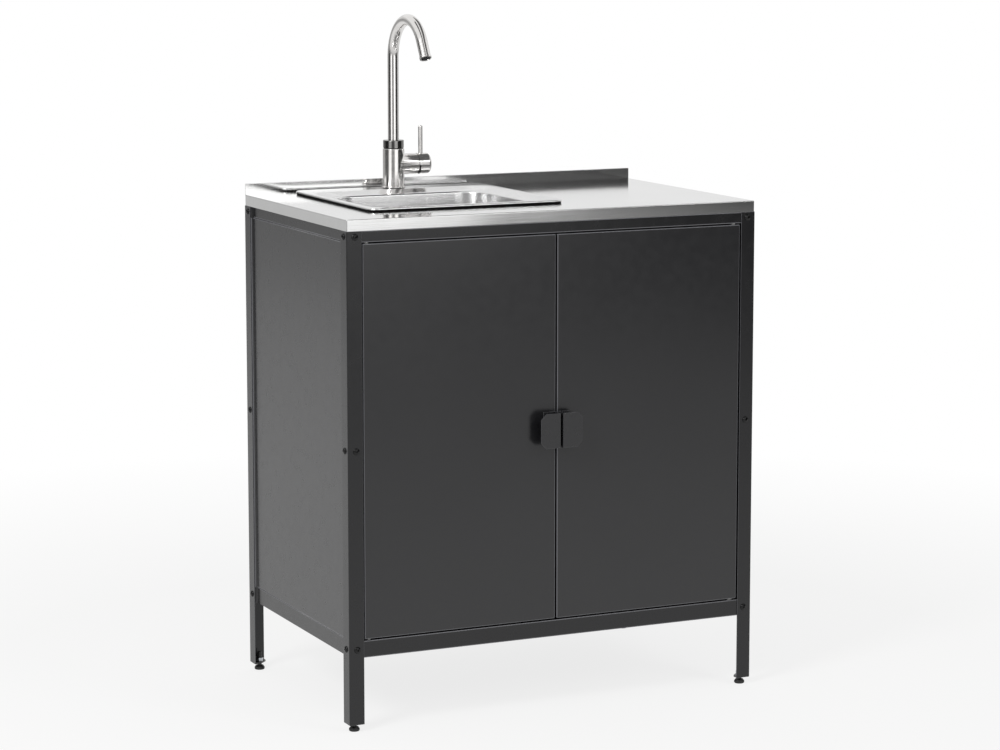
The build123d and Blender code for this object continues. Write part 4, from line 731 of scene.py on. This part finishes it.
def swept_spout():
    """The swan neck: a circle extruded up, spun over the bend and extruded down."""
    bm = bmesh.new()
    ring = bmesh.ops.create_circle(bm, cap_ends=False, segments=48, radius=SPOUT_RADIUS)["verts"]
    moved(bm, ring, (TAP_X, TAP_Y, SPOUT_FOOT))
    riser = bmesh.ops.extrude_edge_only(bm, edges=list(bm.edges))["geom"]
    top = [item for item in riser if isinstance(item, bmesh.types.BMVert)]
    bmesh.ops.translate(bm, vec=(0, 0, BEND_START - SPOUT_FOOT), verts=top)
    edges = [item for item in riser if isinstance(item, bmesh.types.BMEdge)]
    bend = bmesh.ops.spin(
        bm,
        geom=top + edges,
        cent=(TAP_X, TAP_Y - BEND_RADIUS, BEND_START),
        axis=(1, 0, 0),
        angle=BEND_TURN,
        steps=56,
        use_merge=False,
    )["geom_last"]
    edges = [item for item in bend if isinstance(item, bmesh.types.BMEdge)]
    end = bmesh.ops.extrude_edge_only(bm, edges=edges)["geom"]
    last = [item for item in end if isinstance(item, bmesh.types.BMVert)]
    way = Vector((0, -math.sin(BEND_TURN), math.cos(BEND_TURN)))
    bmesh.ops.translate(bm, vec=way * SPOUT_END, verts=last)
    rims = [e for e in bm.edges if e.is_boundary]
    bmesh.ops.holes_fill(bm, edges=rims, sides=60)
    return bm


def outlet_place():
    """Turns a shape that stands on z 0 so that it stands on the spout's open end."""
    y = TAP_Y - BEND_RADIUS * (1 - math.cos(BEND_TURN)) - SPOUT_END * math.sin(BEND_TURN)
    z = BEND_START + BEND_RADIUS * math.sin(BEND_TURN) + SPOUT_END * math.cos(BEND_TURN)
    return (TAP_X, y, z), Matrix.Rotation(BEND_TURN, 4, "X")


# The outlet's parts as (radius, height over the pipe's end)
OUTLET_RING = (
    (9.2, 0.4), (9.2, 4.1), (9.5, 4.45), (10.7, 4.45), (11.35, 3.9), (11.35, 0.9), (10.9, 0.3),
    (9.2, 0.4),
)
OUTLET_RIDGES = (
    (0.0, 0.5), (9.0, 0.5), (9.0, 3.4), (8.2, 3.4), (7.9, 2.6), (6.4, 2.6), (6.1, 3.0),
    (5.4, 3.0), (5.1, 2.6), (3.6, 2.6), (3.3, 3.0), (2.6, 3.0), (2.3, 2.6), (0.0, 2.6),
)


def make_outlet():
    """The aerator: a slim steel ring round a dark insert with ridges."""
    place, turn = outlet_place()
    ring = bmesh.new()
    moved(ring, turned(ring, OUTLET_RING), place, turn)
    finished("outlet_ring", ring, TAP_STEEL, "spout", ("aerator",))
    insert = bmesh.new()
    moved(insert, turned(insert, OUTLET_RIDGES), place, turn)
    finished("outlet_screen", insert, AERATOR_PLASTIC, "spout")


def make_spout():
    finished("swan_neck", swept_spout(), TAP_STEEL, "spout", ("spout_tube",))
    make_outlet()


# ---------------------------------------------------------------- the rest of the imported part

NODE_FINISHES = {
    FRAME_PAINT: ("foot_plates", "worktop_stiffeners"),
    PANEL_PAINT_PAINTED_LIGHT: ("back_panel",),
    WORKTOP_STEEL: ("worktop",),
    SINK_STEEL: ("waste_flange", "waste_basket", "sink_clips"),
    TAP_STEEL: ("lever_rod",),
    ZINC: (
        "foot_nuts", "frame_nuts", "worktop_screws", "clip_screws", "left_handle_screws",
        "right_handle_screws", "left_pivot_pins", "right_pivot_pins", "tap_washer",
    ),
    STEM_STEEL: ("mixer_stem", "lever_pin"),
    BRASS: ("tap_shank", "tap_nut"),
    MAGNET: ("catch_magnets",),
    RUBBER: ("pipe_grommets", "waste_gasket", "tap_seals"),
    SEAL_FOAM: ("sink_rim_seal",),
    COLLAR_STEEL: ("spout_collar",),
    CARTRIDGE_PLASTIC: ("tap_cartridge",),
    NYLON: ("pivot_bushes",),
    CATCH_PLASTIC: ("catch_housing",),
    TRAP_PLASTIC: ("waste_body", "trap_body", "trap_cup", "trap_outlet", "trap_nuts"),
    FOOT_PLASTIC: (
        "front_left_foot", "front_right_foot", "rear_left_foot", "rear_right_foot",
    ),
}


def dress_nodes():
    """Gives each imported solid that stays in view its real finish."""
    for finish, names in NODE_FINISHES.items():
        for name in names:
            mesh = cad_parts[name].data
            mesh.materials.clear()
            mesh.materials.append(finish)


# ---------------------------------------------------------------- studio, drawn in metres

def staged(name, bm, material):
    """A piece of the studio, which isn't part of the unit."""
    mesh = bpy.data.meshes.new(name)
    bm.to_mesh(mesh)
    bm.free()
    mesh.materials.append(material)
    piece = bpy.data.objects.new(name, mesh)
    bpy.context.scene.collection.objects.link(piece)
    return piece


def hidden_from_light(card):
    """A card that only reflections see: it gives no light and throws no shadow."""
    card.visible_camera = False
    card.visible_diffuse = False
    card.visible_shadow = False
    card.visible_transmission = False
    card.visible_volume_scatter = False


def strength_seen(tree, reflected):
    """White to the camera, and the level given to reflections."""
    path = add(tree, "ShaderNodeLightPath")
    clear = add(
        tree,
        "ShaderNodeMath",
        {0: path.outputs["Is Camera Ray"], 1: path.outputs["Is Transmission Ray"]},
        operation="MAXIMUM",
    )
    part = add(
        tree,
        "ShaderNodeMath",
        {0: path.outputs["Is Glossy Ray"], 1: reflected},
        operation="MULTIPLY",
    )
    return add(
        tree, "ShaderNodeMath", {0: clear.outputs[0], 1: part.outputs[0]}, operation="MAXIMUM"
    ).outputs[0]


FLOOR_RADIUS = 14.0
# Painted levels of light that reflections see on the floor, each with the places where it starts
# and ends: along y from the photographer's side to behind the unit, and from far off to close by
FLOOR_ALONG = {"From Min": -1.2, "From Max": 0.2, "To Min": 0.40, "To Max": 0.74}
FLOOR_NEAR = {"From Min": 7.0, "From Max": 0.8}
# Close to the unit a fifth of what is seen is the real floor, with its shadow
FLOOR_SHADOW = {"From Min": 1.0, "From Max": 2.4, "To Min": 0.8, "To Max": 1.0}


def make_floor():
    """Pale floor paper that is seen as white, and still takes the unit's shadow. Further from the
    unit, the level that reflections see on it is painted lower, a painted falloff of light."""
    bm = bmesh.new()
    bmesh.ops.create_circle(bm, cap_ends=True, segments=96, radius=FLOOR_RADIUS)
    material, tree, place = blank_finish("pale_floor_paper")
    away = add(tree, "ShaderNodeVectorMath", {0: place}, operation="LENGTH").outputs["Value"]
    axes = add(tree, "ShaderNodeSeparateXYZ", {"Vector": place})
    along = add(tree, "ShaderNodeMapRange", {"Value": axes.outputs["Y"], **FLOOR_ALONG})
    near = add(tree, "ShaderNodeMapRange", {"Value": away, **FLOOR_NEAR})
    level = add(
        tree, "ShaderNodeMix", {0: near.outputs[0], 2: along.outputs[0], 3: 1.0}, data_type="FLOAT"
    ).outputs[0]
    paint = add(tree, "ShaderNodeBsdfDiffuse", {"Color": tone("#eeeeed")})
    seen = strength_seen(tree, level)
    glow = add(tree, "ShaderNodeEmission", {"Color": tone("#ffffff"), "Strength": seen})
    share = add(tree, "ShaderNodeMapRange", {"Value": away, **FLOOR_SHADOW})
    path = add(tree, "ShaderNodeLightPath")
    bounce = add(
        tree, "ShaderNodeMath", {0: 1.0, 1: path.outputs["Is Diffuse Ray"]}, operation="SUBTRACT"
    )
    part = add(
        tree, "ShaderNodeMath", {0: share.outputs[0], 1: bounce.outputs[0]}, operation="MULTIPLY"
    )
    both = add(
        tree, "ShaderNodeMixShader", {0: part.outputs[0], 1: paint.outputs[0], 2: glow.outputs[0]}
    )
    add(tree, "ShaderNodeOutputMaterial", {"Surface": both.outputs[0]})
    staged("studio_floor", bm, material)


# Levels round the unit that reflections see, as (compass angle from +x in degrees, level):
# pale reflectors with dark gaps between them, and a grey gap where the photographer stands
SURROUND = (
    (-180, 0.05), (-170, 0.06), (-164, 0.8), (-159, 1.5), (-138, 1.5), (-131, 0.24),
    (-104, 0.22), (-96, 1.6), (-68, 1.6), (-66, 0.9), (-63.5, 0.06), (-52, 0.04),
    (-18, 0.05), (-6, 0.8), (16, 0.9), (26, 0.25), (38, 0.87), (92, 0.87), (104, 0.42),
    (142, 0.38), (152, 0.05), (180, 0.05),
)
# The same higher up, where the tops of rounded parts look
LOFT = (
    (-180, 0.05), (-170, 0.06), (-164, 0.8), (-138, 1.1), (-104, 0.8), (-96, 1.5),
    (-72, 1.3), (-54, 1.2), (-47, 0.08), (-18, 0.08), (-6, 0.8), (16, 0.9), (60, 0.9),
    (104, 0.8), (142, 0.6), (152, 0.06), (180, 0.05),
)
# The same lower down, where the worktop's front edge looks
DADO = (
    (-180, 0.3), (-150, 0.45), (-84, 1.05), (-74, 1.0), (-70.5, 0.9), (-69, 0.32), (-62, 0.3),
    (-57, 0.17), (-50, 0.12), (-20, 0.08), (0, 0.5), (40, 0.7), (110, 0.62), (150, 0.5),
    (180, 0.3),
)
# The same near the floor, where the doors' tops look
SKIRTING = (
    (-180, 0.3), (-150, 0.45), (-80, 0.42), (-73, 0.34), (-70, 0.28), (-68, 0.2), (-60, 0.12),
    (-52, 0.05), (-20, 0.08), (0, 0.5), (40, 0.7), (110, 0.62), (150, 0.5), (180, 0.3),
)
# Each wall's name, the heights of its foot and its top, and its levels
WALLS = (
    ("studio_loft", 1.66, 2.3, LOFT),
    ("studio_surround", 0.66, 1.66, SURROUND),
    ("studio_dado", 0.49, 0.66, DADO),
    ("studio_skirting", 0.36, 0.49, SKIRTING),
)
WALL_RADIUS = 3.0


def make_wall(name, bottom, top, levels):
    """A round wall of reflectors and dark gaps, 3 m from the tap, that gives brushed steel its
    light and dark bands."""
    centre = Vector((TAP_X, TAP_Y, 0)) * TO_METRES
    bm = bmesh.new()
    foot = bmesh.ops.create_circle(bm, cap_ends=False, segments=96, radius=WALL_RADIUS)["verts"]
    sides = bmesh.ops.extrude_edge_only(bm, edges=list(bm.edges))["geom"]
    head = [item for item in sides if isinstance(item, bmesh.types.BMVert)]
    bmesh.ops.translate(bm, vec=(0, 0, top - bottom), verts=head)
    bmesh.ops.translate(bm, vec=centre + Vector((0, 0, bottom)), verts=foot + head)
    material, tree, place = blank_finish(f"{name}_levels")
    centred = add(tree, "ShaderNodeMapping", {"Vector": place, "Location": -centre})
    angle = add(
        tree, "ShaderNodeTexGradient", {"Vector": centred.outputs[0]}, gradient_type="RADIAL"
    )
    ramp = add(tree, "ShaderNodeValToRGB", {"Fac": angle.outputs["Fac"]})
    stops = ramp.color_ramp.elements
    for degrees, _ in levels[1:-1]:
        stops.new(degrees / 360 + 0.5)
    for stop, (degrees, level) in zip(stops, levels):
        stop.position = degrees / 360 + 0.5
        stop.color = (level, level, level, 1.0)
    glow = add(tree, "ShaderNodeEmission", {"Color": ramp.outputs["Color"], "Strength": 1.0})
    add(tree, "ShaderNodeOutputMaterial", {"Surface": glow.outputs[0]})
    hidden_from_light(staged(name, bm, material))


# Each beam's width along x, length along y, and middle
BEAMS = ((1.5, 5.6, 1.15, -1.0), (0.6, 2.6, -0.45, -0.5))
BEAM_HEIGHT, BEAM_LEVEL = 3.0, 0.13


def make_beams():
    """Two dark beams overhead, in the reflections of rounded metal."""
    bm = bmesh.new()
    for width, length, x, y in BEAMS:
        beam = bmesh.ops.create_grid(bm, x_segments=1, y_segments=1, size=0.5)["verts"]
        bmesh.ops.scale(bm, vec=(width, length, 1.0), verts=beam)
        bmesh.ops.translate(bm, vec=(x, y, BEAM_HEIGHT), verts=beam)
    material, tree, _ = blank_finish("dark_beams")
    glow = add(tree, "ShaderNodeEmission", {"Color": tone("#ffffff"), "Strength": BEAM_LEVEL})
    add(tree, "ShaderNodeOutputMaterial", {"Surface": glow.outputs[0]})
    hidden_from_light(staged("studio_beams", bm, material))


# Each softbox's name, place, width and power in watts
SOFTBOXES = (
    ("key_softbox", (-3.0, -1.6, 2.9), 1.1, 70.0),
    ("fill_softbox", (1.8, -3.4, 2.6), 1.4, 30.0),
)
SOFTBOX_TARGET = Vector((0, 0, 0.6))


def make_softbox(name, place, width, power):
    lamp = bpy.data.lights.new(name, "AREA")
    lamp.shape = "RECTANGLE"
    lamp.size = lamp.size_y = width
    lamp.energy = power
    held = bpy.data.objects.new(name, lamp)
    bpy.context.scene.collection.objects.link(held)
    aim = (SOFTBOX_TARGET - Vector(place)).to_track_quat("-Z", "Y").to_matrix().to_4x4()
    held.matrix_world = Matrix.Translation(place) @ aim


# The world's level where it lights the unit; it is white to the eye and to reflections
WORLD_LEVEL = 0.5


def make_world():
    """White to the eye and to reflections, and a softer level where it lights the unit."""
    world = bpy.data.worlds.new("studio")
    bpy.context.scene.world = world
    world.use_nodes = True
    tree = world.node_tree
    tree.nodes.clear()
    path = add(tree, "ShaderNodeLightPath")
    seen = add(
        tree,
        "ShaderNodeMath",
        {0: path.outputs["Is Camera Ray"], 1: path.outputs["Is Glossy Ray"]},
        operation="ADD",
    )
    through = add(
        tree,
        "ShaderNodeMath",
        {0: seen.outputs[0], 1: path.outputs["Is Transmission Ray"]},
        operation="ADD",
        use_clamp=True,
    )
    strength = add(
        tree,
        "ShaderNodeMapRange",
        {"Value": through.outputs[0], "To Min": WORLD_LEVEL, "To Max": 1.0},
    )
    sky = add(
        tree,
        "ShaderNodeBackground",
        {"Color": tone("#ffffff"), "Strength": strength.outputs[0]},
    )
    add(tree, "ShaderNodeOutputWorld", {"Surface": sky.outputs[0]})


# Fitted to the photograph: the angles are degrees below level and to the right of the front
CAMERA_PLACE = (-2.3141, -4.9573, 1.4364)
CAMERA_DOWN, CAMERA_RIGHT = 8.024, 25.033
LENS, SENSOR, SHIFT = 108.003, 36.0, -0.05


def make_camera():
    """The photograph's viewpoint: left of the unit's front, a little above its worktop."""
    lens = bpy.data.cameras.new("camera")
    lens.lens = LENS
    lens.sensor_width = SENSOR
    lens.shift_y = SHIFT
    camera = bpy.data.objects.new("camera", lens)
    camera.location = CAMERA_PLACE
    camera.rotation_euler = (
        math.radians(90 - CAMERA_DOWN), 0.0, math.radians(-CAMERA_RIGHT)
    )
    bpy.context.scene.collection.objects.link(camera)
    bpy.context.scene.camera = camera


def make_studio():
    make_floor()
    for wall in WALLS:
        make_wall(*wall)
    make_beams()
    make_world()
    for softbox in SOFTBOXES:
        make_softbox(*softbox)
    make_camera()
    bpy.context.scene.view_settings.view_transform = "Standard"


make_posts()
make_folded_sheets()
make_doors()
make_frame_screws()
make_sink()
make_valve()
make_spout()
dress_nodes()
make_studio()
